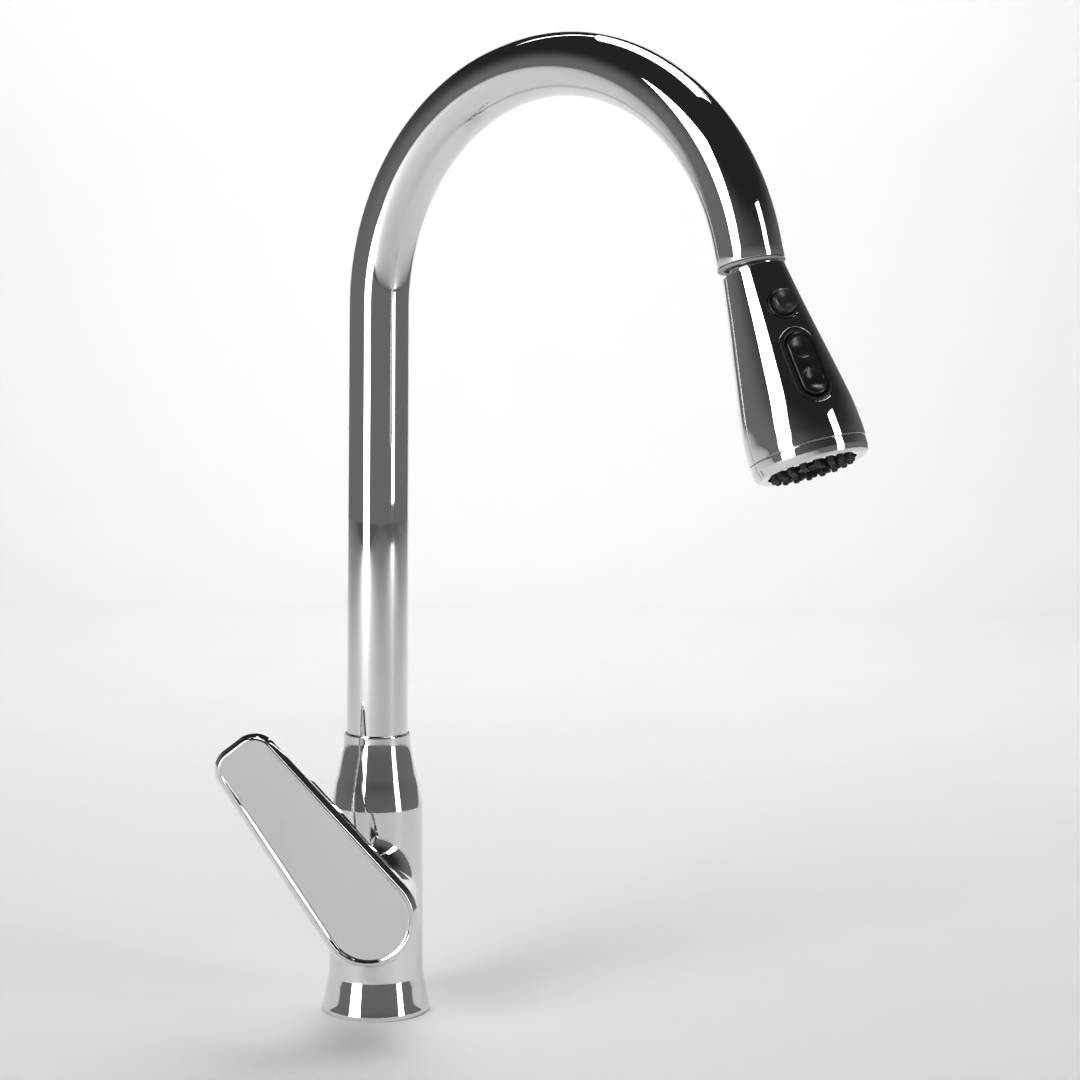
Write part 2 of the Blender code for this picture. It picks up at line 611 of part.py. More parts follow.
clear_scene()
PARTS = new_collection("pull_down_faucet")
CUTTERS = new_collection("cutters")
CUTTERS.hide_render = True

VALVE = empty("valve_axis", None, (0, -PIVOT_Y, VALVE_Z), (90, 0, 0))
LEVER_TURN = empty("lever_turn_axis", VALVE, turn=(0, 0, LEVER_LEAN))
LEVER_TILT = empty("lever_tilt_axis", LEVER_TURN)
DISC_SLIDE = empty("disc_slide", LEVER_TURN)
SPOUT = empty("spout_axis", None, turn=(0, 0, SPOUT_AZIMUTH))
MOUTH = empty("spout_mouth", SPOUT, tuple(spout_end()[0]), (0, -(180 - ARC_SWEEP), 0))
HOSE_END = empty("hose_end", SPOUT, tuple(spout_end()[0]), (0, -HEAD_TILT, 0))
HEAD = empty("spray_head_axis", HOSE_END, turn=(0, 0, HEAD_TURN))
SPOOL = empty("spool_axis", HEAD)
PAUSE = button_frame("pause_axis", PAUSE_S)
ROCKER = button_frame("rocker_axis", ROCKER_S)

make_valve_body()
make_under_worktop()
make_cartridge()
make_turret()
make_disc_group()
make_stem()
make_lever()
make_gooseneck()
make_spout_foot()
make_docking_ring()
make_hose()
make_hose_fitting()
make_head_shell()
make_waterway()
make_pause_button()
make_rocker()
make_face()
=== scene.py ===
"""Looks of the pull down kitchen faucet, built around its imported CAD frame.

Lengths are in millimetres until a piece is placed, and angles are in degrees. The frame has its origin
at the centre of the foot, +Z up the riser and the lever towards -Y.
"""

import json
from math import acos, asin, atan2, cos, hypot, pi, radians, sin, sqrt

import bmesh
import bpy
import numpy as np
from mathutils import Matrix, Vector


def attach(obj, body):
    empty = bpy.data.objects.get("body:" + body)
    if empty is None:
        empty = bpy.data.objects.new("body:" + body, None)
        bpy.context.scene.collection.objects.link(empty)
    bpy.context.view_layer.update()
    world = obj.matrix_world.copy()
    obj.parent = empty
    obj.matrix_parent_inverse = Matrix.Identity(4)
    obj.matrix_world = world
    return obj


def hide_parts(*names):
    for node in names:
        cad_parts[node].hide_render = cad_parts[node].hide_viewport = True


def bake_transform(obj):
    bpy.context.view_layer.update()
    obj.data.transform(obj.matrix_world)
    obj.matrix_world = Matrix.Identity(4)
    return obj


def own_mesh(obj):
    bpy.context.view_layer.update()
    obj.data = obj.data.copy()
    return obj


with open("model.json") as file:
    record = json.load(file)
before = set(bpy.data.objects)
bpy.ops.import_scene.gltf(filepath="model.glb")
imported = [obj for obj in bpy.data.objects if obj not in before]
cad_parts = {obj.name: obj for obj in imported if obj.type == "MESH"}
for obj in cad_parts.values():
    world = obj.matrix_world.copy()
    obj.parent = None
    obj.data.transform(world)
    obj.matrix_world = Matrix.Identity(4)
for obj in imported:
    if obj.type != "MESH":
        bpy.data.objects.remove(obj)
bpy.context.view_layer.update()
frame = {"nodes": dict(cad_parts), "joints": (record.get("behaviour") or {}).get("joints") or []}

MM = 0.001
JOINTS = {joint["name"]: joint for joint in frame["joints"]}

# Body, as in the CAD
FOOT_R = 25.6
WAIST_R = 22.3
SHOULDER_R = 21.8
SHOULDER_Z = 103.0
COLLAR_R = 15.7
COLLAR_Z = 133.0
SHANK_BORE_R = 14.3
SHANK_BORE_TOP = 24.0
HOSE_PASSAGE_R = 7.2
SWIVEL_BORE_R = 13.0
SWIVEL_BORE_BOTTOM = 79.0
TUBE_SOCKET_R = 14.95
TUBE_SOCKET_BOTTOM = 104.0
VALVE_Z = 56.0
PIVOT_Y = 32.0
BOSS_R = 20.3
BOSS_END = 8.0
CHAMBER_R = 17.7
CHAMBER_FLOOR = -22.5
BOSS_BLEND = 12.0

# Spout
TUBE_R = 14.0
TUBE_FOOT_R = 14.5
TUBE_WALL = 1.3
TUBE_FOOT_Z = 106.2
RISER_TOP_Z = 332.8
ARC_R = 104.5
ARC_SWEEP = 165.7
SPOUT_END_STRAIGHT = 9.2

# Spray head, counted from the mouth of the spout
FACE_RING_TOP = 81.3
HEAD_LENGTH = 88.0
SHELL_WALL = 2.0
SHELL_STATIONS = [(4.0, 13.2), (22.0, 16.0), (45.4, 20.1), (64.0, 23.2), (75.0, 24.2), (81.0, 24.3)]
PAUSE_S = 23.0
PAUSE_HOLE_R = 6.5
ROCKER_S = 49.8
ROCKER_HOLE = (33.0, 16.0)

# Lever
LEVER_HUB_R = 22.8
LEVER_LENGTH_TO_TIP = 100.5
LEVER_TIP_HALF_WIDTH = 15.8
LEVER_TIP_CORNER_R = 11.0
LEVER_FACE = 23.0
LEVER_BACK = 18.3
LEVER_RIM_BACK = 14.0
LEVER_WALL = 1.8
LEVER_HUB_SOCKET_R = 8.4


# --- Frames -----------------------------------------------------------------------------------------

def frame_of(origin, x_axis, y_axis, z_axis):
    """A matrix that takes millimetres in a local frame to metres in the row frame."""
    turn = Matrix((x_axis, y_axis, z_axis)).transposed().to_4x4()
    return Matrix.Translation(origin) @ turn @ Matrix.Scale(MM, 4)


WORLD = Matrix.Scale(MM, 4)
LEVER_X = Vector(JOINTS["lever_flow"]["axis"]).normalized()
OUTWARD = Vector(JOINTS["lever_temperature"]["axis"]).normalized()
PIVOT = Vector(JOINTS["lever_flow"]["pos_m"])
LEVER = frame_of(PIVOT, LEVER_X, OUTWARD.cross(LEVER_X), OUTWARD)
VALVE = frame_of(PIVOT, Vector((1, 0, 0)), OUTWARD.cross(Vector((1, 0, 0))), OUTWARD)

MOUTH_POINT = Vector(JOINTS["head_spin"]["pos_m"])
HEAD_DOWN = Vector(JOINTS["pull_down"]["axis"]).normalized()
ROCKER_SIDE = Vector(JOINTS["rocker_tilt"]["axis"]).normalized()
HEAD_X = (-ROCKER_SIDE).cross(-HEAD_DOWN)
HEAD = frame_of(MOUTH_POINT, HEAD_X, -ROCKER_SIDE, -HEAD_DOWN)

SPOUT_AZIMUTH = atan2(MOUTH_POINT.y, MOUTH_POINT.x)
SPOUT_OUT = Vector((cos(SPOUT_AZIMUTH), sin(SPOUT_AZIMUTH), 0))
UP = Vector((0, 0, 1))
SPOUT = frame_of(Vector((0, 0, 0)), SPOUT_OUT, UP.cross(SPOUT_OUT), UP)
MOUTH_UP = -(SPOUT_OUT * sin(radians(ARC_SWEEP)) + UP * cos(radians(ARC_SWEEP)))
MOUTH = frame_of(MOUTH_POINT, UP.cross(SPOUT_OUT).cross(MOUTH_UP), UP.cross(SPOUT_OUT), MOUTH_UP)


# --- Outlines ---------------------------------------------------------------------------------------

def arc(centre, radius, start, end, steps):
    """Points on a circle, from the start angle to the end angle in degrees."""
    angles = [radians(start + (end - start) * i / steps) for i in range(steps + 1)]
    return [(centre[0] + radius * cos(a), centre[1] + radius * sin(a)) for a in angles]


def smooth_through(stations, steps):
    """A Catmull-Rom curve through (x, y) stations, with this many steps between two of them."""
    ends = [stations[0]] + list(stations) + [stations[-1]]
    points = []
    for i in range(1, len(ends) - 2):
        p0, p1, p2, p3 = (Vector(p) for p in ends[i - 1:i + 3])
        for k in range(steps):
            t = k / steps
            point = (p1 * 2 + (p2 - p0) * t + (p0 * 2 - p1 * 5 + p2 * 4 - p3) * t ** 2
                     + (p1 * 3 - p0 - p2 * 3 + p3) * t ** 3) * 0.5
            points.append((point.x, point.y))
    points.append(tuple(stations[-1]))
    return points


def rounded(corners, closed=False, steps=6):
    """An outline through (x, y) or (x, y, radius) corners, with each radius drawn as an arc."""
    count = len(corners)
    points = []
    for i, corner in enumerate(corners):
        here = Vector(corner[:2])
        radius = corner[2] if len(corner) > 2 else 0.0
        if not radius or (not closed and i in (0, count - 1)):
            points.append(tuple(here))
            continue
        before = (Vector(corners[i - 1][:2]) - here).normalized()
        after = (Vector(corners[(i + 1) % count][:2]) - here).normalized()
        half = acos(max(-1.0, min(1.0, before.dot(after)))) / 2
        centre = here + (before + after).normalized() * (radius / sin(half))
        first = here + before * (radius / (sin(half) / cos(half)))
        last = here + after * (radius / (sin(half) / cos(half)))
        a0 = atan2(first.y - centre.y, first.x - centre.x)
        turn = atan2(last.y - centre.y, last.x - centre.x) - a0
        turn = (turn + pi) % (2 * pi) - pi
        for k in range(steps + 1):
            a = a0 + turn * k / steps
            points.append((centre.x + radius * cos(a), centre.y + radius * sin(a)))
    return points


def dense(points, longest=1.5, closed=False):
    """The same outline with its long stretches divided, so that shading stays true next to a round edge."""
    found = []
    ends = points[1:] + ([points[0]] if closed else [])
    for a, b in zip(points, ends):
        pieces = max(1, int(hypot(b[0] - a[0], b[1] - a[1]) / longest) + 1)
        found += [(a[0] + (b[0] - a[0]) * k / pieces, a[1] + (b[1] - a[1]) * k / pieces)
                  for k in range(pieces)]
    return found if closed else found + [points[-1]]


def shell_radius(s):
    """Outside radius of the head's shell at this distance along the head."""
    curve = smooth_through(SHELL_STATIONS, 12)
    for (s0, r0), (s1, r1) in zip(curve, curve[1:]):
        if s0 <= s <= s1:
            return r0 + (r1 - r0) * (s - s0) / (s1 - s0)
    return curve[-1][1]


def button_frame(s):
    """A frame on the shell's surface, its Z along the outward normal and its X up the head."""
    slope = atan2(shell_radius(s + 3) - shell_radius(s - 3), 6.0)
    turn = HEAD.to_3x3().normalized()
    normal = turn @ Vector((cos(slope), 0, sin(slope)))
    up = turn @ Vector((-sin(slope), 0, cos(slope)))
    return frame_of(HEAD @ Vector((shell_radius(s), 0, -s)), up, normal.cross(up), normal)


PAUSE = button_frame(PAUSE_S)
ROCKER = button_frame(ROCKER_S)


# --- Meshes -----------------------------------------------------------------------------------------

def piece(name, verts, faces, matrix, look, body, replaces=(), sharp=30.0):
    """Makes a closed mesh of local points, faces it outwards, gives it its look and hangs it on its body."""
    mesh = bpy.data.meshes.new(name)
    mesh.from_pydata([matrix @ Vector(v) for v in verts], [], faces)
    shape = bmesh.new()
    shape.from_mesh(mesh)
    bmesh.ops.remove_doubles(shape, verts=shape.verts, dist=1e-7)
    bmesh.ops.recalc_face_normals(shape, faces=shape.faces)
    shape.to_mesh(mesh)
    shape.free()
    obj = bpy.data.objects.new(name, mesh)
    bpy.context.scene.collection.objects.link(obj)
    mesh.shade_smooth()
    if sharp:
        mesh.set_sharp_from_angle(angle=radians(sharp))
    dress(obj, look)
    if body:
        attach(obj, body)
    if replaces:
        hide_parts(*replaces)
    return obj


def dress(obj, look):
    obj.data.materials.clear()
    obj.data.materials.append(look)


def lathe_data(profile, steps, closed):
    """Points and faces of a (radius, height) profile turned about Z; an open one ends on the axis."""
    verts = []
    rows = []
    for r, z in profile:
        if r < 1e-6:
            rows.append([len(verts)] * steps)
            verts.append((0, 0, z))
            continue
        rows.append([len(verts) + i for i in range(steps)])
        verts += [(r * cos(2 * pi * i / steps), r * sin(2 * pi * i / steps), z) for i in range(steps)]
    faces = []
    pairs = list(zip(rows, rows[1:])) + ([(rows[-1], rows[0])] if closed else [])
    for a, b in pairs:
        for i in range(steps):
            j = (i + 1) % steps
            corners = [a[i], b[i], b[j], a[j]]
            face = [c for k, c in enumerate(corners) if c not in corners[:k]]
            if len(face) > 2:
                faces.append(face)
    return verts, faces


def lathe(name, profile, matrix, look, body, replaces=(), steps=96, closed=True, sharp=30.0,
          longest=1.5):
    verts, faces = lathe_data(dense(profile, longest, closed), steps, closed)
    return piece(name, verts, faces, matrix, look, body, replaces, sharp)


def loops_data(loops, closed=False):
    """Faces between loops of equal length, each loop running round; closed joins the last to the first."""
    count = len(loops[0])
    verts = [v for loop in loops for v in loop]
    faces = []
    rows = range(len(loops) if closed else len(loops) - 1)
    for i in rows:
        a, b = i * count, ((i + 1) % len(loops)) * count
        faces += [(a + k, b + k, b + (k + 1) % count, a + (k + 1) % count) for k in range(count)]
    return verts, faces


def swept(points, radii, normals_plane, sides, phase=0.0):
    """Rings round a path that lies in the XZ plane of its frame."""
    loops = []
    for i, (point, radius) in enumerate(zip(points, radii)):
        here = Vector(point)
        before = Vector(points[max(i - 1, 0)])
        after = Vector(points[min(i + 1, len(points) - 1)])
        along = normals_plane[i] if normals_plane else (after - before).normalized()
        side = Vector((0, 1, 0))
        out = side.cross(along)
        loops.append([tuple(here + (out * cos(a) + side * sin(a)) * radius)
                      for a in (phase + 2 * pi * k / sides for k in range(sides))])
    return loops


# --- Materials --------------------------------------------------------------------------------------

class Look:
    """A node material with a Principled shader, and short calls for the nodes it takes."""

    def __init__(self, name, colour, roughness, metallic=0.0, **constants):
        self.material = bpy.data.materials.new(name)
        self.material.use_nodes = True
        self.tree = self.material.node_tree
        self.shader = self.tree.nodes["Principled BSDF"]
        self.shader.inputs["Base Color"].default_value = (*colour, 1.0)
        self.shader.inputs["Roughness"].default_value = roughness
        self.shader.inputs["Metallic"].default_value = metallic
        for socket, value in constants.items():
            self.shader.inputs[socket.replace("_", " ")].default_value = value
        self.place = self.node("ShaderNodeTexCoord").outputs["Object"]

    def node(self, kind, inputs=None, **settings):
        made = self.tree.nodes.new(kind)
        for key, value in settings.items():
            setattr(made, key, value)
        for key, value in (inputs or {}).items():
            self.feed(made.inputs[key], value)
        return made

    def feed(self, socket, value):
        if isinstance(value, bpy.types.NodeSocket):
            self.tree.links.new(value, socket)
        else:
            socket.default_value = value

    def stretched(self, scale):
        return self.node("ShaderNodeMapping", {"Vector": self.place, "Scale": scale}).outputs["Vector"]

    def noise(self, scale, detail=3.0, rough=0.5, place=None, distortion=0.0):
        made = self.node("ShaderNodeTexNoise",
                         {"Vector": place or self.place, "Scale": scale, "Detail": detail,
                                                "Roughness": rough, "Distortion": distortion})
        return made.outputs["Fac"]

    def remap(self, value, low, high, to_low=0.0, to_high=1.0):
        made = self.node("ShaderNodeMapRange", {"Value": value, "From Min": low, "From Max": high,
                                                "To Min": to_low, "To Max": to_high},
                         interpolation_type="SMOOTHSTEP")
        return made.outputs["Result"]

    def maths(self, operation, a, b=0.0):
        return self.node("ShaderNodeMath", {0: a, 1: b}, operation=operation).outputs[0]

    def mixed(self, fac, a, b):
        made = self.node("ShaderNodeMix", data_type="RGBA")
        for index, value in ((0, fac), (6, a), (7, b)):
            if index and not isinstance(value, bpy.types.NodeSocket):
                value = (*value, 1.0)
            self.feed(made.inputs[index], value)
        return made.outputs[2]

    def bump(self, height, strength, distance_mm, normal=None):
        inputs = {"Height": height, "Strength": strength, "Distance": distance_mm * MM}
        if normal:
            inputs["Normal"] = normal
        return self.node("ShaderNodeBump", inputs).outputs["Normal"]

    def set(self, socket, value):
        self.feed(self.shader.inputs[socket], value)
        return self


def chrome_look(name, tint=(0.80, 0.805, 0.815), wave_mm=0.0, wave_scale=18.0):
    """Polished plating: hair-fine wipe marks, faint finger smudges and, on a casting, a slow waviness."""
    look = Look(name, tint, 0.04, 1.0)
    smudge = look.remap(look.noise(38.0, 5.0, 0.6, distortion=0.4), 0.52, 0.78)
    hairs = look.remap(look.noise(900.0, 2.0, 0.5, look.stretched((1.0, 1.0, 0.06))), 0.60, 0.80)
    cells = look.node("ShaderNodeTexVoronoi", {"Vector": look.place, "Scale": 420.0})
    specks = look.remap(cells.outputs["Distance"], 0.0, 0.06, 1.0, 0.0)
    wear = look.maths("ADD", look.maths("MULTIPLY", smudge, 0.07), look.maths("MULTIPLY", hairs, 0.03))
    wear = look.maths("ADD", wear, look.maths("MULTIPLY", specks, 0.12))
    look.set("Roughness", look.maths("ADD", wear, 0.022))
    look.set("Base Color", look.mixed(look.maths("MULTIPLY", smudge, 0.35), tint, (0.70, 0.70, 0.69)))
    normal = look.bump(hairs, 0.05, 0.01)
    if wave_mm:
        normal = look.bump(look.noise(wave_scale, 1.0, 0.4), 1.0, wave_mm, normal)
    return look.set("Normal", normal).material


def brass_look():
    look = Look("turned_brass", (0.70, 0.52, 0.25), 0.3, 1.0)
    tarnish = look.remap(look.noise(60.0, 5.0, 0.65), 0.42, 0.72)
    rings = look.noise(700.0, 2.0, 0.5, look.stretched((0.02, 0.02, 1.0)))
    look.set("Base Color", look.mixed(tarnish, (0.74, 0.56, 0.27), (0.50, 0.33, 0.15)))
    look.set("Roughness", look.remap(tarnish, 0.0, 1.0, 0.22, 0.46))
    return look.set("Normal", look.bump(rings, 0.25, 0.03)).material


def steel_look():
    look = Look("turned_steel", (0.58, 0.58, 0.59), 0.28, 1.0)
    rings = look.noise(900.0, 2.0, 0.5, look.stretched((0.03, 0.03, 1.0)))
    stain = look.remap(look.noise(90.0, 4.0, 0.6), 0.5, 0.8)
    look.set("Base Color", look.mixed(stain, (0.60, 0.60, 0.61), (0.42, 0.41, 0.40)))
    look.set("Roughness", look.remap(stain, 0.0, 1.0, 0.2, 0.42))
    return look.set("Normal", look.bump(rings, 0.2, 0.02)).material


def plastic_look(name, colour, worn, roughness, grain_mm=0.02, grain_scale=1500.0, **constants):
    """Moulded plastic: spark-eroded grain, with the touched places a little lighter and glossier."""
    look = Look(name, colour, roughness, **constants)
    handled = look.remap(look.noise(110.0, 4.0, 0.6), 0.45, 0.75)
    grain = look.noise(grain_scale, 3.0, 0.6)
    look.set("Base Color", look.mixed(handled, colour, worn))
    look.set("Roughness", look.remap(handled, 0.0, 1.0, roughness, roughness * 0.75))
    return look.set("Normal", look.bump(grain, 0.35, grain_mm)).material


def rubber_look():
    look = Look("black_rubber_skin", (0.016, 0.016, 0.017), 0.6)
    bloom = look.remap(look.noise(160.0, 4.0, 0.6), 0.5, 0.8)
    look.set("Base Color", look.mixed(bloom, (0.012, 0.012, 0.013), (0.028, 0.028, 0.030)))
    look.set("Roughness", look.remap(bloom, 0.0, 1.0, 0.48, 0.72))
    return look.set("Normal", look.bump(look.noise(1800.0, 3.0, 0.6), 0.4, 0.02)).material


def ceramic_look():
    look = Look("lapped_ceramic", (0.86, 0.84, 0.78), 0.15)
    mottle = look.noise(300.0, 5.0, 0.6)
    look.set("Base Color", look.mixed(mottle, (0.88, 0.86, 0.80), (0.80, 0.78, 0.72)))
    return look.set("Normal", look.bump(mottle, 0.1, 0.01)).material


def braid_look():
    """Nylon braid: two sets of strands that cross, read from the place along and round the hose's end."""
    look = Look("hose_braid_weave", (0.16, 0.16, 0.17), 0.5)
    upright = HEAD.to_3x3().normalized().transposed()
    local = look.node("ShaderNodeMapping", {"Vector": look.place, "Location": -(upright @ MOUTH_POINT),
                                            "Rotation": upright.to_euler()},
                                            vector_type="POINT").outputs["Vector"]
    parts = look.node("ShaderNodeSeparateXYZ", {"Vector": local})
    x, y, z = parts.outputs
    around = look.maths("MULTIPLY", look.maths("ARCTAN2", y, x), 8.0)
    along = look.maths("MULTIPLY", z, 2 * pi / (4.4 * MM))
    crossed = [look.maths("SINE", look.maths(sign, along, around)) for sign in ("ADD", "SUBTRACT")]
    weave = look.maths("MAXIMUM", *crossed)
    fleck = look.remap(look.maths("MULTIPLY", *crossed), 0.2, 0.8)
    look.set("Base Color", look.mixed(fleck, (0.05, 0.05, 0.055), (0.32, 0.32, 0.34)))
    look.set("Roughness", look.remap(weave, -1.0, 1.0, 0.62, 0.38))
    return look.set("Normal", look.bump(weave, 0.8, 0.25)).material


CHROME = chrome_look("polished_chrome")
CAST_CHROME = chrome_look("polished_chrome_on_casting", wave_mm=0.03)
LEVER_CHROME = chrome_look("polished_chrome_on_lever", wave_mm=0.012)
BRASS = brass_look()
STEEL = steel_look()
BLACK = plastic_look("satin_black_plastic", (0.008, 0.009, 0.011), (0.018, 0.019, 0.022), 0.34, 0.006)
GREY = plastic_look("grey_guide_plastic", (0.33, 0.33, 0.34), (0.39, 0.39, 0.40), 0.42)
WHITE = plastic_look("white_acetal", (0.78, 0.78, 0.75), (0.70, 0.69, 0.64), 0.42)
RUBBER = rubber_look()
CERAMIC = ceramic_look()
BRAID = braid_look()
BUTTON = plastic_look("button_cap_plastic", (0.017, 0.018, 0.021), (0.024, 0.025, 0.029), 0.30, 0.001, 5000.0)
GLOSS_BLACK = plastic_look("polished_black_plastic", (0.010, 0.010, 0.012), (0.015, 0.016, 0.018), 0.22,
                           0.001, 5000.0)


# --- Cast body --------------------------------------------------------------------------------------

def barrel_radius(z):
    """Outside radius of the straight part of the body."""
    return WAIST_R + (SHOULDER_R - WAIST_R) * (z - SHANK_BORE_TOP) / (SHOULDER_Z - 6 - SHANK_BORE_TOP)


def casting_field(p):
    """Signed distance, near enough, to the barrel and the boss with a soft fillet where they cross."""
    x, y, z = p[..., 0], p[..., 1], p[..., 2]
    round_z = np.sqrt(x * x + y * y) + 1e-9
    round_y = np.sqrt(x * x + (z - VALVE_Z) ** 2) + 1e-9
    barrel = round_z - barrel_radius(z)
    boss = np.maximum(round_y - BOSS_R, y)
    facing = np.clip(x * x / (round_z * round_y), 0, 1)
    blend = BOSS_BLEND * (1 - facing) + 1e-3
    overlap = np.maximum(blend - np.abs(barrel - boss), 0) / blend
    return np.minimum(barrel, boss) - overlap ** 2 * blend / 4


def gradient(field, p, step=0.01):
    found = np.empty_like(p)
    for k in range(3):
        nudge = np.zeros(3)
        nudge[k] = step
        found[..., k] = (field(p + nudge) - field(p - nudge)) / (2 * step)
    return found


def surface_net(field, low, high, step, held):
    """A quad mesh of a field's zero surface in a box, drawn onto the surface itself.

    Points beside an open side of the box, named in held as (axis, value), are put exactly on that side.
    """
    counts = [int(round((b - a) / step)) for a, b in zip(low, high)]
    axes = [np.linspace(a, b, n + 1) for a, b, n in zip(low, high, counts)]
    grid = np.stack(np.meshgrid(*axes, indexing="ij"), -1)
    value = field(grid)
    inside = value < 0
    total = np.zeros([n for n in counts] + [3])
    hits = np.zeros(counts)
    quads = []
    index = np.full(counts, -1)
    crossings = []
    for k in range(3):
        lower = [slice(None)] * 3
        upper = [slice(None)] * 3
        lower[k], upper[k] = slice(0, -1), slice(1, None)
        a, b = tuple(lower), tuple(upper)
        cross = np.argwhere(inside[a] != inside[b])
        va = value[a][tuple(cross.T)]
        vb = value[b][tuple(cross.T)]
        share = (va / (va - vb))[:, None]
        unit = np.zeros(3, int)
        unit[k] = 1
        points = grid[tuple(cross.T)] * (1 - share) + grid[tuple((cross + unit).T)] * share
        i, j = [m for m in range(3) if m != k]
        for di in (0, -1):
            for dj in (0, -1):
                cell = cross.copy()
                cell[:, i] += di
                cell[:, j] += dj
                ok = np.all((cell >= 0) & (cell < np.array(counts)), axis=1)
                np.add.at(total, tuple(cell[ok].T), points[ok])
                np.add.at(hits, tuple(cell[ok].T), 1)
        crossings.append((cross, i, j))
    filled = np.argwhere(hits > 0)
    index[tuple(filled.T)] = np.arange(len(filled))
    verts = total[tuple(filled.T)] / hits[tuple(filled.T)][:, None]
    for cross, i, j in crossings:
        ring = []
        for di, dj in ((0, 0), (-1, 0), (-1, -1), (0, -1)):
            cell = cross.copy()
            cell[:, i] += di
            cell[:, j] += dj
            ring.append(cell)
        ring = np.stack(ring, 1)
        ok = np.all((ring >= 0) & (ring < np.array(counts)), axis=(1, 2))
        quads.append(index[tuple(np.moveaxis(ring[ok], -1, 0))])
    faces = np.concatenate(quads)
    free = np.ones_like(verts)
    for axis, side in held:
        edge = filled[:, axis] == (0 if side == low[axis] else counts[axis] - 1)
        verts[edge, axis] = side
        free[edge, axis] = 0
    for _ in range(6):
        slope = gradient(field, verts) * free
        verts -= slope * (field(verts) / np.maximum((slope ** 2).sum(-1), 1e-6))[:, None]
    return verts, faces, gradient(field, verts)


def body_profile(low, high):
    """The body's outline from just over the barrel, over the collar, down inside and up round the foot."""
    neck = smooth_through([(19.2, 110.8), (18.4, 114.5), (16.2, 126.0), (15.75, 131.0)], 8)
    lip = rounded([(15.75, 131.4), (COLLAR_R, COLLAR_Z, 0.45), (TUBE_SOCKET_R, COLLAR_Z, 0.25),
                   (TUBE_SOCKET_R, TUBE_SOCKET_BOTTOM), (SWIVEL_BORE_R, TUBE_SOCKET_BOTTOM),
                   (SWIVEL_BORE_R, SWIVEL_BORE_BOTTOM), (HOSE_PASSAGE_R, SWIVEL_BORE_BOTTOM),
                   (HOSE_PASSAGE_R, SHANK_BORE_TOP), (SHANK_BORE_R, SHANK_BORE_TOP), (SHANK_BORE_R, 4.0),
                   (19.0, 4.0), (19.0, 0.0), (FOOT_R - 0.35, 0.0, 0.8), (FOOT_R, 2.2)])
    shoulder = smooth_through([(barrel_radius(high), high), (SHOULDER_R - 0.35, SHOULDER_Z - 2.5),
                               (20.8, SHOULDER_Z + 0.8), (20.0, SHOULDER_Z + 4.5), (19.2, 110.8)], 6)
    flare = smooth_through([(FOOT_R, 2.2), (24.8, 5.5), (23.1, 14.0),
                            (barrel_radius(low - 2) + 0.1, low - 2)],
                           8)
    return shoulder[:-1] + neck + lip[:-1] + flare + [(barrel_radius(low), low)]


def open_loops(shape):
    """The open edge loops of a bmesh, as lists of edges."""
    left = {e for e in shape.edges if e.is_boundary}
    loops = []
    while left:
        todo = [left.pop()]
        loop = []
        while todo:
            edge = todo.pop()
            loop.append(edge)
            for vert in edge.verts:
                for other in vert.link_edges:
                    if other in left:
                        left.remove(other)
                        todo.append(other)
        loops.append(loop)
    return loops


def make_casting():
    """Barrel, boss and fillet as one skin, carried on by turned stretches at the collar, foot and boss."""
    low, high, front = 20.0, 98.0, -(PIVOT_Y + BOSS_END - 1.0)
    verts, faces, slopes = surface_net(casting_field, (-27.0, front, low), (27.0, 27.0, high), 1.0,
                                       [(2, low), (2, high), (1, front)])
    shape = bmesh.new()
    made = [shape.verts.new(v) for v in verts]
    for face in faces:
        shape.faces.new([made[i] for i in face])
    exact = {i: Vector(n).normalized() for i, n in enumerate(slopes)}
    boss_edge = rounded([(BOSS_R, BOSS_END - 1.6), (BOSS_R, BOSS_END, 0.5), (CHAMBER_R, BOSS_END, 0.2),
                         (CHAMBER_R, CHAMBER_FLOOR), (0, CHAMBER_FLOOR)])[1:]
    to_boss = WORLD.inverted() @ VALVE
    for profile, matrix in ((body_profile(low - 0.6, high + 0.6), Matrix.Identity(4)), (boss_edge, to_boss)):
        points, rings = lathe_data(dense(profile, 1.2), 160, False)
        turned = [shape.verts.new(matrix @ Vector(p)) for p in points]
        for ring in rings:
            shape.faces.new([turned[i] for i in ring])
    shape.verts.ensure_lookup_table()
    bmesh.ops.remove_doubles(shape, verts=shape.verts[len(made):], dist=1e-5)
    loops = open_loops(shape)

    def middle(loop):
        points = [v.co for e in loop for v in e.verts]
        return sum(points, Vector()) / len(points)

    paired = []
    while loops:
        loop = loops.pop()
        near = min(loops, key=lambda other: (middle(other) - middle(loop)).length)
        loops.remove(near)
        paired.append(loop + near)
    for edges in paired:
        bmesh.ops.bridge_loops(shape, edges=edges)
    bmesh.ops.triangulate(shape, faces=[f for f in shape.faces if len(f.verts) > 4])
    bmesh.ops.recalc_face_normals(shape, faces=shape.faces)
    bmesh.ops.transform(shape, matrix=WORLD, verts=shape.verts)
    mesh = bpy.data.meshes.new("body_casting")
    shape.to_mesh(mesh)
    shape.free()
    mesh.shade_smooth()
    mesh.set_sharp_from_angle(angle=radians(32))
    normals = [tuple(exact.get(i, (0, 0, 0))) for i in range(len(mesh.vertices))]
    mesh.normals_split_custom_set_from_vertices(normals)
    body = bpy.data.objects.new("body_casting", mesh)
    bpy.context.scene.collection.objects.link(body)
    dress(body, CAST_CHROME)
    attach(body, "faucet_body")
    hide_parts("valve_body")


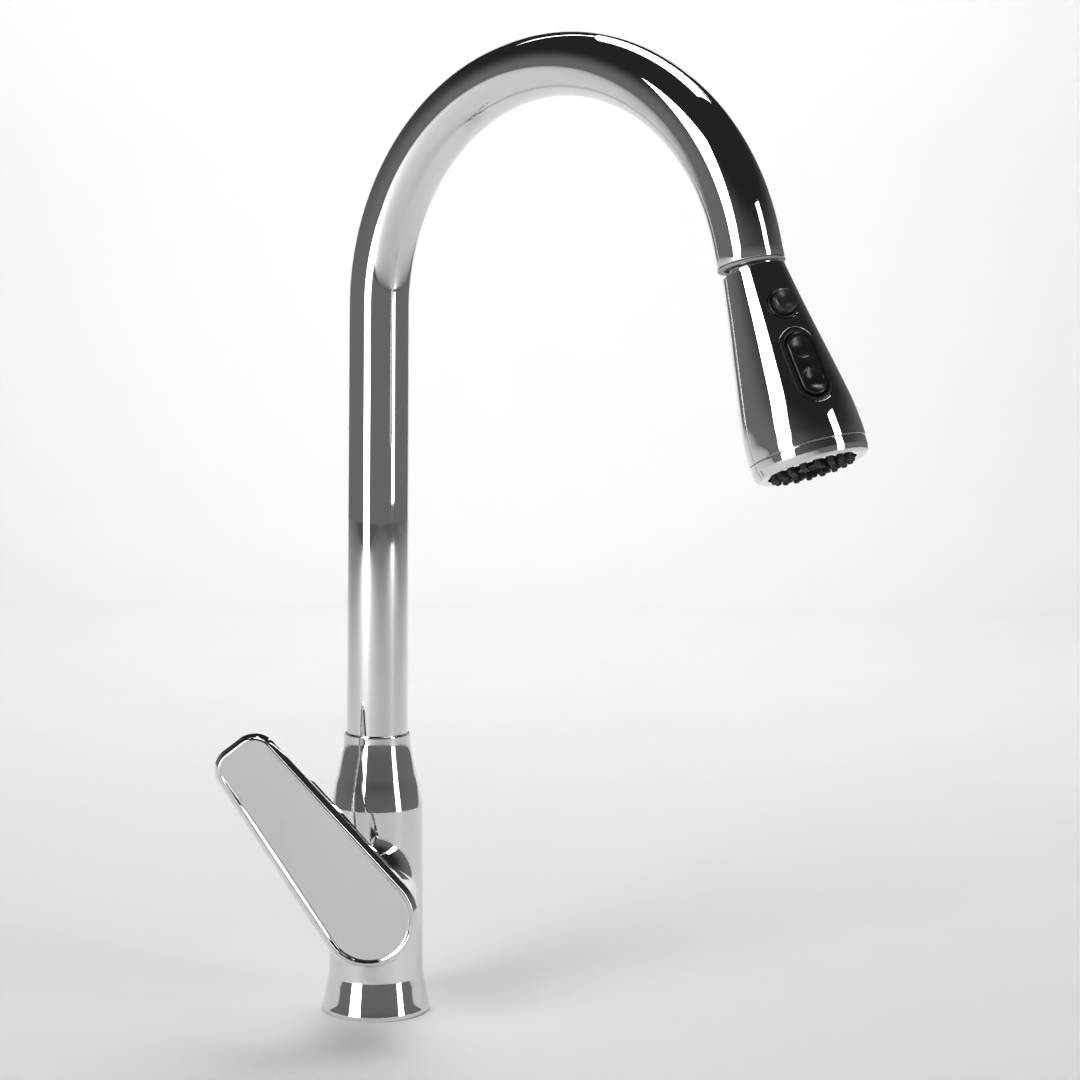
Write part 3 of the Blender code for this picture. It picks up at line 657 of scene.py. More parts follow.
def make_dome_cap():
    profile = rounded([(14.9, 11.0), (16.4, 11.0, 0.4), (18.6, 10.3, 1.5), (20.4, 8.9, 0.5), (20.4, 8.3, 0.2),
                       (14.9, 8.3)], closed=True)
    lathe("cap_ring", profile, VALVE, CHROME, "faucet_body", ["dome_cap"], steps=144, longest=0.6)


# --- Lever ------------------------------------------------------------------------------------------

SIDE_STEPS = 40
CORNER_STEPS = 24
HEEL_STEPS = 96


def lever_outline(inset):
    """The lever's outline moved in by an inset, always with the same count of points."""
    corner_y = LEVER_LENGTH_TO_TIP - LEVER_TIP_CORNER_R
    corner_x = LEVER_TIP_HALF_WIDTH - LEVER_TIP_CORNER_R
    heel_r = LEVER_HUB_R - inset
    tip_r = LEVER_TIP_CORNER_R - inset
    reach = sqrt(corner_x ** 2 + corner_y ** 2)
    side = 90 - (acos((LEVER_HUB_R - LEVER_TIP_CORNER_R) / reach) + atan2(corner_x, corner_y)) * 180 / pi
    right = arc((corner_x, corner_y), tip_r, side, 90, CORNER_STEPS)
    heel = arc((0, 0), heel_r, 180 - side, 360 + side, HEEL_STEPS)

    def run(a, b, steps):
        return [(a[0] + (b[0] - a[0]) * k / steps, a[1] + (b[1] - a[1]) * k / steps) for k in range(1, steps)]

    left = [(-x, y) for x, y in reversed(right)]
    return right + run(right[-1], left[0], 8) + left + run(left[-1], heel[0], SIDE_STEPS) + heel + \
        run(heel[-1], right[0], SIDE_STEPS)


LIP = 4.4
RIM_FLAT = 3.0
DISH_ACROSS = 0.0030
DISH_ALONG = 0.0012
DISH_MIDDLE = 42.0
DISH_DEEPEST = 2.9
TIP_CURL = 0.9


def lever_face_height(x, y):
    """The dished face: a shallow bowl, rounder at the hub and a trough further out, curling up at the tip."""
    reach = max(0.0, min(1.0, (y - 6.0) / 22.0))
    across = DISH_ALONG + (DISH_ACROSS - DISH_ALONG) * reach * reach * (3 - 2 * reach)
    bowl = across * x * x / 2 + DISH_ALONG * (y - DISH_MIDDLE) ** 2 / 2
    curl = max(0.0, (y - 74.0) / (LEVER_LENGTH_TO_TIP - LIP - 74.0))
    return LEVER_FACE - DISH_DEEPEST + bowl + TIP_CURL * curl ** 2


def wall_back(y):
    """Height of the skirt's lower edge: deeper along the outer half of the lever."""
    t = max(0.0, min(1.0, (y - 34.0) / 7.0))
    return LEVER_RIM_BACK - 1.6 * t * t * (3 - 2 * t)


def make_lever():
    """One closed skin: skirt, rolled lip, dished face, hollow back and the boss that takes the stem."""
    face_loops = []
    for share in (0.0, 0.03, 0.08, 0.15, 0.24, 0.34, 0.45, 0.56, 0.67, 0.77, 0.86, 0.93, 0.97):
        loop = []
        for x, y in lever_outline(LIP):
            along = max(0.0, min(LEVER_LENGTH_TO_TIP - LEVER_TIP_HALF_WIDTH, y))
            px, py = x * (1 - share), y + (along - y) * share
            loop.append((px, py, lever_face_height(px, py)))
        face_loops.append(loop)
    rim = rounded([(0.35, 0.0), (0.0, 0.35), (0.0, 5.0, 2.6), (1.9, 9.0, 1.2), (RIM_FLAT, 9.0, 0.3)],
                  steps=8)[:-1]
    rim += [(RIM_FLAT + (LIP - RIM_FLAT) * k / 8, 9.0) for k in range(9)]
    top = LEVER_FACE
    outside = []
    for inset, rise in rim:
        inset = min(inset, LIP)
        ring = []
        for x, y in lever_outline(inset):
            base = wall_back(y)
            height = base + rise * (top - base) / 9.0
            if inset > RIM_FLAT:
                share = (inset - RIM_FLAT) / (LIP - RIM_FLAT)
                height += (lever_face_height(x, y) - height) * share * share * (3 - 2 * share)
            ring.append((x, y, height))
        outside.append(ring)
    inner = []
    for inset, drop in ((0.9, 0.0), (1.5, 0.0), (LEVER_WALL, 0.5), (LEVER_WALL, 2.2), (2.4, 3.6), (3.4, 4.2)):
        ring = []
        for x, y in lever_outline(inset):
            base = wall_back(y)
            depth = LEVER_BACK - base
            ring.append((x, y, base + depth * min(1.0, drop / 4.2)))
        inner.append(ring)
    socket = []
    for share in (0.25, 0.5, 0.75, 0.9):
        ring = []
        for x, y in lever_outline(3.4):
            r = hypot(x, y)
            bx, by = x / r * LEVER_HUB_SOCKET_R, y / r * LEVER_HUB_SOCKET_R
            ring.append((x + (bx - x) * share, y + (by - y) * share, LEVER_BACK))
        socket.append(ring)
    hub = []
    for radius, height in ((LEVER_HUB_SOCKET_R + 0.3, LEVER_BACK), (LEVER_HUB_SOCKET_R, LEVER_BACK - 0.3),
                           (LEVER_HUB_SOCKET_R, 12.9), (LEVER_HUB_SOCKET_R - 0.3, 12.6), (5.9, 12.6)):
        hub.append([(x / hypot(x, y) * radius, y / hypot(x, y) * radius, height)
                    for x, y in lever_outline(3.4)])
    for height in (12.6, 17.9):
        ring = []
        for x, y in lever_outline(3.4):
            scale = min(4.35 / max(abs(x), 1e-6), 3.85 / max(abs(y), 1e-6))
            ring.append((x * scale, y * scale, height))
        hub.append(ring)
    loops = list(reversed(hub)) + list(reversed(socket)) + list(reversed(inner)) + outside + face_loops
    verts, faces = loops_data(loops)
    count = len(loops[0])
    faces.append(list(range(count)))
    spine = []
    for x, y in lever_outline(LIP):
        along = max(0.0, min(LEVER_LENGTH_TO_TIP - LEVER_TIP_HALF_WIDTH, y))
        spine.append((0.0, along, lever_face_height(0.0, along)))
    start = len(verts) - count
    verts += spine
    faces += [(start + k, start + count + k, start + count + (k + 1) % count, start + (k + 1) % count)
              for k in range(count)]
    piece("lever_paddle", verts, faces, LEVER, LEVER_CHROME, "lever", ["lever_handle"], sharp=40.0)


# --- Spout ------------------------------------------------------------------------------------------

def gooseneck_path(start_z, past_end, riser_steps, arc_steps):
    """Centre line with its directions: riser, arc and straight end."""
    points = []
    heads = []
    for i in range(riser_steps):
        points.append((0, 0, start_z + (RISER_TOP_Z - start_z) * i / riser_steps))
        heads.append(Vector((0, 0, 1)))
    for i in range(arc_steps + 1):
        a = radians(ARC_SWEEP) * i / arc_steps
        points.append((ARC_R * (1 - cos(a)), 0, RISER_TOP_Z + ARC_R * sin(a)))
        heads.append(Vector((sin(a), 0, cos(a))))
    end = Vector(points[-1])
    for length in (SPOUT_END_STRAIGHT / 2, SPOUT_END_STRAIGHT + past_end):
        points.append(tuple(end + heads[-1] * length))
        heads.append(heads[-1].copy())
    return points, heads


def tube_radius(z, inset):
    """The tube swells a little towards its foot."""
    share = max(0.0, min(1.0, (RISER_TOP_Z - z) / (RISER_TOP_Z - TUBE_FOOT_Z)))
    return TUBE_R + (TUBE_FOOT_R - TUBE_R) * share - inset


def make_gooseneck():
    points, heads = gooseneck_path(TUBE_FOOT_Z, 0.0, 40, 150)
    radii = [tube_radius(p[2], 0) if i < 40 else TUBE_R for i, p in enumerate(points)]
    outside = swept(points, radii, heads, 96)
    mouth = Vector(points[-1])
    lip = []
    for inset, back in ((0.0, 0.35), (0.1, 0.1), (0.35, 0.0), (TUBE_WALL, 0.0)):
        lip += swept([tuple(mouth - heads[-1] * back)], [TUBE_R - inset], [heads[-1]], 96)
    inside = swept(points[::-1], [r - TUBE_WALL for r in radii[::-1]], heads[::-1], 96)
    verts, faces = loops_data(outside[:-1] + lip + inside, closed=True)
    piece("gooseneck", verts, faces, SPOUT, CHROME, "spout", ["gooseneck_tube"])


def make_docking_ring():
    inside = TUBE_R - TUBE_WALL - 0.7
    profile = rounded([(inside, 11.0), (inside, -0.3), (TUBE_R - 0.2, -0.3, 0.15), (TUBE_R + 0.15, -0.8, 0.3),
                       (TUBE_R - 0.2, -1.35, 0.2), (11.3, -1.3, 0.3), (11.3, 11.0)], closed=True)
    lathe("guide_ring", profile, MOUTH, GREY, "spout", ["docking_ring"], 112, longest=0.8)


# --- Spray head -------------------------------------------------------------------------------------

SHELL_COLUMNS = 160
SHELL_ROWS = 70
SHELL_TOP = SHELL_STATIONS[0][0]
SHELL_END = SHELL_STATIONS[-1][0]
ROW_STEP = (SHELL_END - SHELL_TOP) / SHELL_ROWS
SHELL_CURVE = smooth_through(SHELL_STATIONS, 24)


def shell_points(theta, s, inset):
    """Points on the shell from angle and distance arrays; the inset is square to the surface."""
    curve = np.array(SHELL_CURVE)
    radius = np.interp(s, curve[:, 0], curve[:, 1])
    slope = (np.interp(s + 0.5, curve[:, 0], curve[:, 1]) - np.interp(s - 0.5, curve[:, 0], curve[:, 1]))
    tilt = np.arctan(slope)
    normal = np.stack([np.cos(tilt) * np.cos(theta), np.cos(tilt) * np.sin(theta), np.sin(tilt)], -1)
    place = np.stack([radius * np.cos(theta), radius * np.sin(theta), -s], -1)
    return place - normal * np.asarray(inset)[..., None], normal


def to_shell(outline, s0):
    """Angle and distance of the shell's points under a flat outline in the button frame at s0."""
    r0 = shell_radius(s0)
    slope = atan2(shell_radius(s0 + 3) - shell_radius(s0 - 3), 6.0)
    found = []
    for u, v in outline:
        w = 0.0
        for _ in range(20):
            s = s0 - u * cos(slope) - w * sin(slope)
            x = r0 - u * sin(slope) + w * cos(slope)
            w += sqrt(max(shell_radius(s) ** 2 - v * v, 0.0)) - x
        found.append((atan2(-v, x), s))
    return found


def pill(length, width, steps):
    """A round-ended slot outline, its long side along X, with its straight sides divided too."""
    r = width / 2
    reach = length / 2 - r
    ends = arc((reach, 0), r, -90, 90, steps), arc((-reach, 0), r, 90, 270, steps)
    side = max(1, int(2 * reach / (pi * r / steps)))
    points = []
    for end, other in (ends, ends[::-1]):
        points += end
        a, b = Vector(end[-1]), Vector(other[0])
        points += [tuple(a.lerp(b, k / side)) for k in range(1, side)] if reach else []
    return points if reach else points[:-1][:2 * steps]


def spread(points, targets):
    """Points along a closed outline, one for each target, placed where the outline faces that target."""
    ring = np.array(points + [points[0]])
    middle = ring[:-1].mean(0)
    angles = np.unwrap(np.arctan2(ring[:, 1] - middle[1], ring[:, 0] - middle[0]))
    lengths = np.concatenate([[0], np.cumsum(np.hypot(*np.diff(ring, axis=0).T))])
    if angles[-1] < angles[0]:
        ring, angles = ring[::-1], angles[::-1]
        lengths = lengths[-1] - lengths[::-1]
    want = np.arctan2(targets[:, 1] - middle[1], targets[:, 0] - middle[0])
    want = angles[0] + (want - angles[0]) % (2 * pi)
    at = np.interp(want, angles, lengths)
    even = at[0] + lengths[-1] * np.arange(len(at)) / len(at)
    drift = (np.unwrap(at * 2 * pi / lengths[-1]) * lengths[-1] / (2 * pi))
    if drift[-1] < drift[0]:
        even = at[0] - lengths[-1] * np.arange(len(at)) / len(at)
    place = (0.5 * drift + 0.5 * even) % lengths[-1]
    return np.stack([np.interp(place, lengths, ring[:, k]) for k in range(2)], -1)


def make_head_shell():
    """The shell with its two openings: an even grid outside them, and rings that close in on each edge."""
    holes = [(PAUSE_S, arc((0, 0), PAUSE_HOLE_R, 0, 360, 96)[:-1], 16, 8, 25),
             (ROCKER_S, pill(*ROCKER_HOLE, 24), 16, 25, 59)]
    theta = 2 * pi * np.arange(SHELL_COLUMNS) / SHELL_COLUMNS
    theta = np.where(theta > pi, theta - 2 * pi, theta)
    rows = SHELL_TOP + ROW_STEP * np.arange(SHELL_ROWS + 1)
    verts, faces, exact = [], [], {}

    def add(angle, s, inset, smooth=True):
        place, normal = shell_points(np.asarray(angle, float), np.asarray(s, float), inset)
        first = len(verts)
        verts.extend(map(tuple, place))
        if smooth:
            for i, n in enumerate(normal):
                exact[first + i] = n if inset[i] < SHELL_WALL / 2 else -n
        return list(range(first, len(verts)))

    def join_rows(a, b):
        count = len(a)
        faces.extend([(a[i], a[(i + 1) % count], b[(i + 1) % count], b[i]) for i in range(count)])

    skins = []
    for inset in (0.0, SHELL_WALL):
        grid = [add(theta, np.full(SHELL_COLUMNS, s), np.full(SHELL_COLUMNS, inset)) for s in rows]
        skins.append(grid)
        for j in range(SHELL_ROWS):
            for i in range(SHELL_COLUMNS):
                column = (i + SHELL_COLUMNS // 2) % SHELL_COLUMNS - SHELL_COLUMNS // 2
                inside = any(-half <= column < half and first <= j < last for _, _, half, first,
                             last in holes)
                if not inside:
                    k = (i + 1) % SHELL_COLUMNS
                    faces.append((grid[j][i], grid[j][k], grid[j + 1][k], grid[j + 1][i]))
    for s0, outline, half, first, last in holes:
        columns = list(range(-half, half + 1))
        border = [(c, first) for c in columns] + [(half, j) for j in range(first + 1, last)]
        border += [(c, last) for c in reversed(columns)] + [(-half, j) for j in range(last - 1, first, -1)]
        outer = np.array([(2 * pi * c / SHELL_COLUMNS, rows[j]) for c, j in border])
        scale = np.array([shell_radius(s0), 1.0])
        edge = np.array(to_shell(outline, s0))
        edge = spread([tuple(p) for p in edge * scale], outer * scale) / scale
        ends = []
        for grid, inset in zip(skins, (0.0, SHELL_WALL)):
            previous = [grid[j][c % SHELL_COLUMNS] for c, j in border]
            for share in (0.2, 0.4, 0.6, 0.8, 0.93):
                ring = outer * (1 - share) + edge * share
                made = add(ring[:, 0], ring[:, 1], np.full(len(ring), inset))
                join_rows(previous, made)
                previous = made
            ends.append(previous)
        middle = edge.mean(0)
        previous = ends[0]
        for grow, depth in ((0.3, 0.0), (0.12, 0.06), (0.03, 0.18), (0.0, 0.4), (0.0, 1.2),
                            (0.0, SHELL_WALL)):
            away = (edge - middle) * scale
            away = away / np.linalg.norm(away, axis=1)[:, None] * grow / scale
            made = add(edge[:, 0] + away[:, 0], edge[:, 1] + away[:, 1], np.full(len(edge), depth),
                       smooth=depth == 0.0)
            join_rows(previous, made)
            previous = made
        join_rows(previous, ends[1])
    full = np.zeros(SHELL_COLUMNS)
    for row, past in ((0, -1), (SHELL_ROWS, 1)):
        previous = skins[0][row]
        for along, depth in ((0.10, 0.06), (0.2, 0.25), (0.2, 1.0), (0.2, SHELL_WALL - 0.2),
                             (0.1, SHELL_WALL)):
            place, _ = shell_points(theta, full + rows[row], full + depth)
            place[:, 2] -= past * along * 0.8
            first_new = len(verts)
            verts.extend(map(tuple, place))
            made = list(range(first_new, len(verts)))
            join_rows(previous, made)
            previous = made
        join_rows(previous, skins[1][row])
    shell = piece("head_casing", verts, faces, HEAD, CHROME, "spray_head", ["head_shell"], sharp=35.0)
    turn = HEAD.to_3x3().normalized()
    world = {tuple(round(c, 7) for c in HEAD @ Vector(verts[i])): turn @ Vector(n) for i, n in exact.items()}
    keys = [tuple(round(c, 7) for c in v.co) for v in shell.data.vertices]
    shell.data.normals_split_custom_set_from_vertices([tuple(world.get(k, (0, 0, 0))) for k in keys])


def make_head_neck():
    profile = rounded([(9.6, 13.0, 0.5), (9.6, -2.8, 0.2), (12.1, -3.0, 0.15), (12.1, -3.7, 0.15),
                       (10.7, -3.7),
                       (10.7, -9.0), (7.9, -9.0), (7.9, 13.0, 0.4)], closed=True)
    lathe("neck_collar", profile, HEAD, CHROME, "spray_head", ["head_neck"], longest=0.8)


NOZZLE_FACE_RINGS = [(16.0, 18), (12.2, 13), (8.6, 8)]
FACE_END = -HEAD_LENGTH


def nozzle_places():
    """Each ring's nozzles, with every second ring turned by half a step."""
    turns = [(ring_r, 2 * pi * (i + 0.5 * (k % 2)) / count)
             for k, (ring_r, count) in enumerate(NOZZLE_FACE_RINGS) for i in range(count)]
    return [(ring_r * cos(turn), ring_r * sin(turn)) for ring_r, turn in turns]


def make_face_ring():
    profile = rounded([(21.7, FACE_END + 14.0), (21.7, -FACE_RING_TOP), (24.05, -FACE_RING_TOP, 0.35),
                       (24.0, FACE_END + 3.2, 2.0), (23.3, FACE_END + 0.9, 1.0), (22.2, FACE_END, 0.8),
                       (18.4, FACE_END, 0.35), (18.4, FACE_END + 3.4), (20.3, FACE_END + 3.4),
                       (20.3, FACE_END + 11.4), (20.9, FACE_END + 11.4), (20.9, FACE_END + 14.0)],
                      closed=True)
    lathe("face_bezel", profile, HEAD, CHROME, "spray_head", ["face_ring"], steps=160, longest=0.7)


def make_nozzle_plate():
    """Black faceplate: a fine step round its edge and a hole with a soft rim for each nozzle."""
    base = FACE_END + 0.6
    profile = rounded([(6.0, FACE_END + 6.4), (19.8, FACE_END + 6.4), (19.8, FACE_END + 3.7),
                       (18.1, FACE_END + 3.7),
                       (18.1, base + 0.1, 0.3), (17.5, base - 0.1, 0.2), (17.2, base + 0.25, 0.1),
                       (7.2, base + 0.25, 0.1), (6.9, base - 0.1, 0.2), (6.0, base - 0.1, 0.3)], closed=True)
    verts, faces = lathe_data(dense(profile, 0.9, True), 144, True)
    plate = piece("spray_faceplate", verts, faces, HEAD, BLACK, "spray_head", ["nozzle_plate"])
    cutter_verts, cutter_faces = [], []
    for x, y in nozzle_places():
        hole, sides = lathe_data([(0, FACE_END - 3), (2.15, FACE_END - 3), (2.15, base + 0.2),
                                  (1.62, base + 0.75),
                                  (1.62, FACE_END + 9), (0, FACE_END + 9)], 20, False)
        first = len(cutter_verts)
        cutter_verts += [(x + a, y + b, c) for a, b, c in hole]
        cutter_faces += [[first + i for i in side] for side in sides]
    mesh = bpy.data.meshes.new("nozzle_holes")
    mesh.from_pydata([HEAD @ Vector(v) for v in cutter_verts], [], cutter_faces)
    shape = bmesh.new()
    shape.from_mesh(mesh)
    bmesh.ops.recalc_face_normals(shape, faces=shape.faces)
    shape.to_mesh(mesh)
    shape.free()
    cutter = bpy.data.objects.new("nozzle_holes", mesh)
    bpy.context.scene.collection.objects.link(cutter)
    holes = plate.modifiers.new("holes", "BOOLEAN")
    holes.operation = "DIFFERENCE"
    holes.object = cutter
    bpy.context.view_layer.update()
    drilled = bpy.data.meshes.new_from_object(plate.evaluated_get(bpy.context.evaluated_depsgraph_get()))
    plate.modifiers.clear()
    plate.data = drilled
    bpy.data.objects.remove(cutter, do_unlink=True)
    drilled.shade_smooth()
    drilled.set_sharp_from_angle(angle=radians(25))


def make_nozzles():
    """Soft nozzle mat: a ring behind the faceplate and one tapered, drilled tip for each hole."""
    low, high = FACE_END + 6.7, FACE_END + 8.7
    verts, faces = lathe_data(rounded([(6.2, low, 0.2), (19.4, low, 0.2), (19.4, high, 0.2),
                                       (6.2, high, 0.2)],
                                      closed=True, steps=2), 96, True)
    tip = rounded([(0.0, low + 0.4), (1.45, low + 0.4), (1.4, FACE_END + 1.0), (1.3, FACE_END - 1.9, 0.7),
                   (0.5, FACE_END - 1.9, 0.12), (0.42, FACE_END), (0.0, FACE_END)], steps=5)
    for x, y in nozzle_places():
        points, sides = lathe_data(tip, 20, False)
        first = len(verts)
        verts += [(x + a, y + b, c) for a, b, c in points]
        faces += [[first + i for i in side] for side in sides]
    piece("nozzle_tips", verts, faces, HEAD, RUBBER, "spray_head", ["spray_nozzles"])


def make_aerator():
    """Ring with a recessed screen of thin crossed bars."""
    top = FACE_END + 8.5
    profile = rounded([(5.7, top, 0.3), (5.7, FACE_END + 0.2, 0.5), (4.9, FACE_END + 0.2, 0.3),
                       (4.6, FACE_END + 1.0, 0.2), (3.1, FACE_END + 1.2, 0.2), (2.6, FACE_END + 1.6, 0.2),
                       (2.6, top, 0.2)], closed=True, steps=4)
    verts, faces = lathe_data(dense(profile, 0.8, True), 72, True)
    bars = [0.62 * k for k in range(-4, 5)]
    for along in (0, 1):
        for offset in bars:
            reach = sqrt(max(2.72 ** 2 - offset ** 2, 0.01))
            low = FACE_END + 2.2 + 0.35 * along
            corners = [(-reach, offset - 0.11, low), (reach, offset - 0.11, low), (reach, offset + 0.11, low),
                       (-reach, offset + 0.11, low)]
            corners += [(x, y, z + 0.3) for x, y, z in corners]
            first = len(verts)
            verts += [(y, x, z) if along else (x, y, z) for x, y, z in corners]
            faces += [[first + i for i in face] for face in ((0, 1, 2, 3), (7, 6, 5, 4), (0, 4, 5, 1),
                                                             (1, 5, 6, 2),
                                                             (2, 6, 7, 3), (3, 7, 4, 0))]
    piece("aerator_screen", verts, faces, HEAD, BLACK, "spray_head", ["aerator_insert"])


# --- Buttons ----------------------------------------------------------------------------------------

def make_pause_button():
    bezel = rounded([(6.2, 0.45, 0.35), (6.2, -4.6, 0.2), (2.6, -4.6), (2.6, -3.8), (5.2, -3.8),
                     (5.2, 0.1, 0.3)],
                    closed=True)
    lathe("pause_surround", bezel, PAUSE, BLACK, "spray_head", ["pause_bezel"], longest=0.5)
    cap = rounded([(0, 3.55), (1.8, 3.62), (3.5, 4.1, 1.2), (4.3, 4.3, 0.5), (4.95, 3.6, 0.7),
                   (5.0, -0.9, 0.2),
                   (2.1, -0.9), (2.1, -5.6, 0.3), (0, -5.6)])
    lathe("pause_cap", cap, PAUSE, BUTTON, "pause", ["pause_button"], longest=0.4,
          closed=False)


def even_pill(length, width, inset, steps=28):
    """A slot outline moved in, always with the same count of points and the same middle line."""
    r = width / 2 - inset
    reach = (length - width) / 2
    side = 26
    right, left = arc((reach, 0), r, -90, 90, steps), arc((-reach, 0), r, 90, 270, steps)
    top = [(reach - 2 * reach * k / side, r) for k in range(1, side)]
    bottom = [(-reach + 2 * reach * k / side, -r) for k in range(1, side)]
    return right + top + left + bottom


def rocker_height(x, y):
    """Top of the rocker: crowned across, with a shallow touch pad up the head and a thumb dimple down it."""
    crown = 0.95 - 0.014 * y * y
    upper = hypot(x - 6.7, y) / 4.8
    lower = hypot(x + 6.9, y) / 4.5
    pad = -0.90 * max(0.0, 1 - upper * upper)
    bowl = -1.40 * max(0.0, 1 - lower * lower) ** 0.85
    ridge = 0.16 * sum(max(0.0, 1 - abs(ring - 1.04) / 0.11) for ring in (upper, lower))
    return crown + pad + bowl + ridge


def make_rocker():
    length, width = 27.4, 11.2
    loops = [[(x, y, z) for x, y in even_pill(length, width, inset)] for inset, z in
             ((2.5, -4.4), (0.5, -4.4), (0.15, -4.3), (0.0, -4.0), (0.0, -1.8), (0.0, -0.2))]
    for inset, drop in ((0.06, 0.34), (0.2, 0.16), (0.42, 0.05), (0.7, 0.0)):
        loops.append([(x, y, rocker_height(x, y) - drop) for x, y in even_pill(length, width, inset)])
    for k in range(1, 19):
        inset = 0.7 + (width / 2 - 0.7) * k / 18
        loops.append([(x, y, rocker_height(x, y)) for x, y in even_pill(length, width, inset)])
    closing = [[(x, y, -4.4) for x, y in even_pill(length, width, inset)] for inset in (width / 2, 4.0)]
    verts, faces = loops_data(closing + loops)
    piece("rocker_cap", verts, faces, ROCKER, GLOSS_BLACK, "rocker", ["spray_rocker"],
          sharp=50.0)
    rings = ((1.9, -4.6), (0.3, -4.6), (0.0, -4.3), (0.0, -1.0), (0.12, -0.62), (0.45, -0.5), (1.3, -0.5),
             (1.62, -0.6), (1.75, -0.9), (1.8, -1.3), (1.85, -4.2))
    verts, faces = loops_data([[(x, y, z) for x, y in even_pill(32.4, 15.4, inset)] for inset, z in rings],
                              True)
    piece("rocker_surround", verts, faces, ROCKER, BLACK, "spray_head", ["rocker_bezel"])


# --- Under the worktop and the hose -----------------------------------------------------------------

WORKTOP = 25.0
SHANK_R = 14.0
SHANK_INNER_R = 10.5
SHANK_BOTTOM = -62.0
SHANK_TOP = SHANK_BORE_TOP - 0.3
THREAD_PITCH = 1.5
HOSE_R = 5.5


def make_shank():
    """Threaded shank: a trapezoid thread runs round the outside between two plain ends."""
    steps, rise = 64, THREAD_PITCH / 8
    rows = int((SHANK_TOP - SHANK_BOTTOM - 2.0) / rise)
    loops = []
    for j in range(rows + 1):
        z = SHANK_BOTTOM + 1.0 + rise * j
        near = min(z - SHANK_BOTTOM - 1.0, SHANK_TOP - 1.0 - z) / THREAD_PITCH
        depth = 0.85 * min(1.0, max(0.0, near))
        loop = []
        for i in range(steps):
            phase = (z / THREAD_PITCH - i / steps) % 1.0
            crest = min(1.0, max(0.0, 2.2 - abs(phase - 0.5) * 6.0))
            radius = SHANK_R - depth * (1 - crest)
            loop.append((radius * cos(2 * pi * i / steps), radius * sin(2 * pi * i / steps), z))
        loops.append(loop)

    def ring(radius, z):
        return [(radius * cos(2 * pi * i / steps), radius * sin(2 * pi * i / steps), z) for i in range(steps)]

    top = [ring(SHANK_R - 0.6, SHANK_TOP), ring(SHANK_INNER_R + 0.4, SHANK_TOP),
           ring(SHANK_INNER_R, SHANK_TOP - 0.4)]
    bottom = [ring(SHANK_INNER_R, SHANK_BOTTOM + 0.4), ring(SHANK_INNER_R + 0.4, SHANK_BOTTOM),
              ring(SHANK_R - 0.9, SHANK_BOTTOM)]
    verts, faces = loops_data(loops + top + bottom, closed=True)
    piece("shank_thread", verts, faces, WORLD, BRASS, "faucet_body", ["threaded_shank"], sharp=40.0)


def hex_nut(name, flat_r, bore_r, low, high, look, body, replaces):
    """A six-sided nut whose corners are turned off at both ends, with a chamfered bore."""
    steps = 96
    corner_r = flat_r

    def hexagon(limit, z):
        loop = []
        for i in range(steps):
            a = 2 * pi * i / steps
            across = corner_r * cos(pi / 6) / cos((a % (pi / 3)) - pi / 6)
            r = min(across, limit)
            loop.append((r * cos(a), r * sin(a), z))
        return loop

    def ring(radius, z):
        return [(radius * cos(2 * pi * i / steps), radius * sin(2 * pi * i / steps), z) for i in range(steps)]

    flat = corner_r * cos(pi / 6)
    bevel = (corner_r - flat) * 0.6
    loops = [ring(bore_r, low + 0.6), ring(bore_r + 0.6, low), ring(flat - 0.6, low),
             hexagon(flat, low + 0.1),
             hexagon(flat + (corner_r - flat) * 0.5, low + bevel * 0.5), hexagon(corner_r, low + bevel),
             hexagon(corner_r, high - bevel), hexagon(flat + (corner_r - flat) * 0.5, high - bevel * 0.5),
             hexagon(flat, high - 0.1), ring(flat - 0.6, high), ring(bore_r + 0.6, high),
             ring(bore_r, high - 0.6)]
    verts, faces = loops_data(loops, closed=True)
    piece(name, verts, faces, WORLD, look, body, replaces, sharp=22.0)


def make_fixings():
    top = -WORKTOP
    washers = (("sealing_washer", "rubber_washer", top, top - 3.0, RUBBER, "black_rubber"),
               ("backing_washer", "steel_washer", top - 3.3, top - 5.3, STEEL, "steel"))
    for name, node, high, low, look, slot in washers:
        inner = SHANK_R + 0.5
        profile = rounded([(26.0, high, 0.6), (26.0, low, 0.6), (inner, low, 0.3), (inner, high, 0.3)],
                          closed=True)
        lathe(name, profile, WORLD, look, "faucet_body", [node])
    hex_nut("lock_nut", 21.0, SHANK_R + 0.4, top - 17.6, top - 5.6, BRASS, "faucet_body", ["mounting_nut"])
    hex_nut("hose_coupling", 7.6, 3.2, SHANK_BOTTOM - 14.0, SHANK_BOTTOM - 1.0, BRASS, "spout",
            ["hose_supply_nut"])


LEAD_TOP = 46.0
LEAD_END = 13.4
LEAD_RINGS = 150


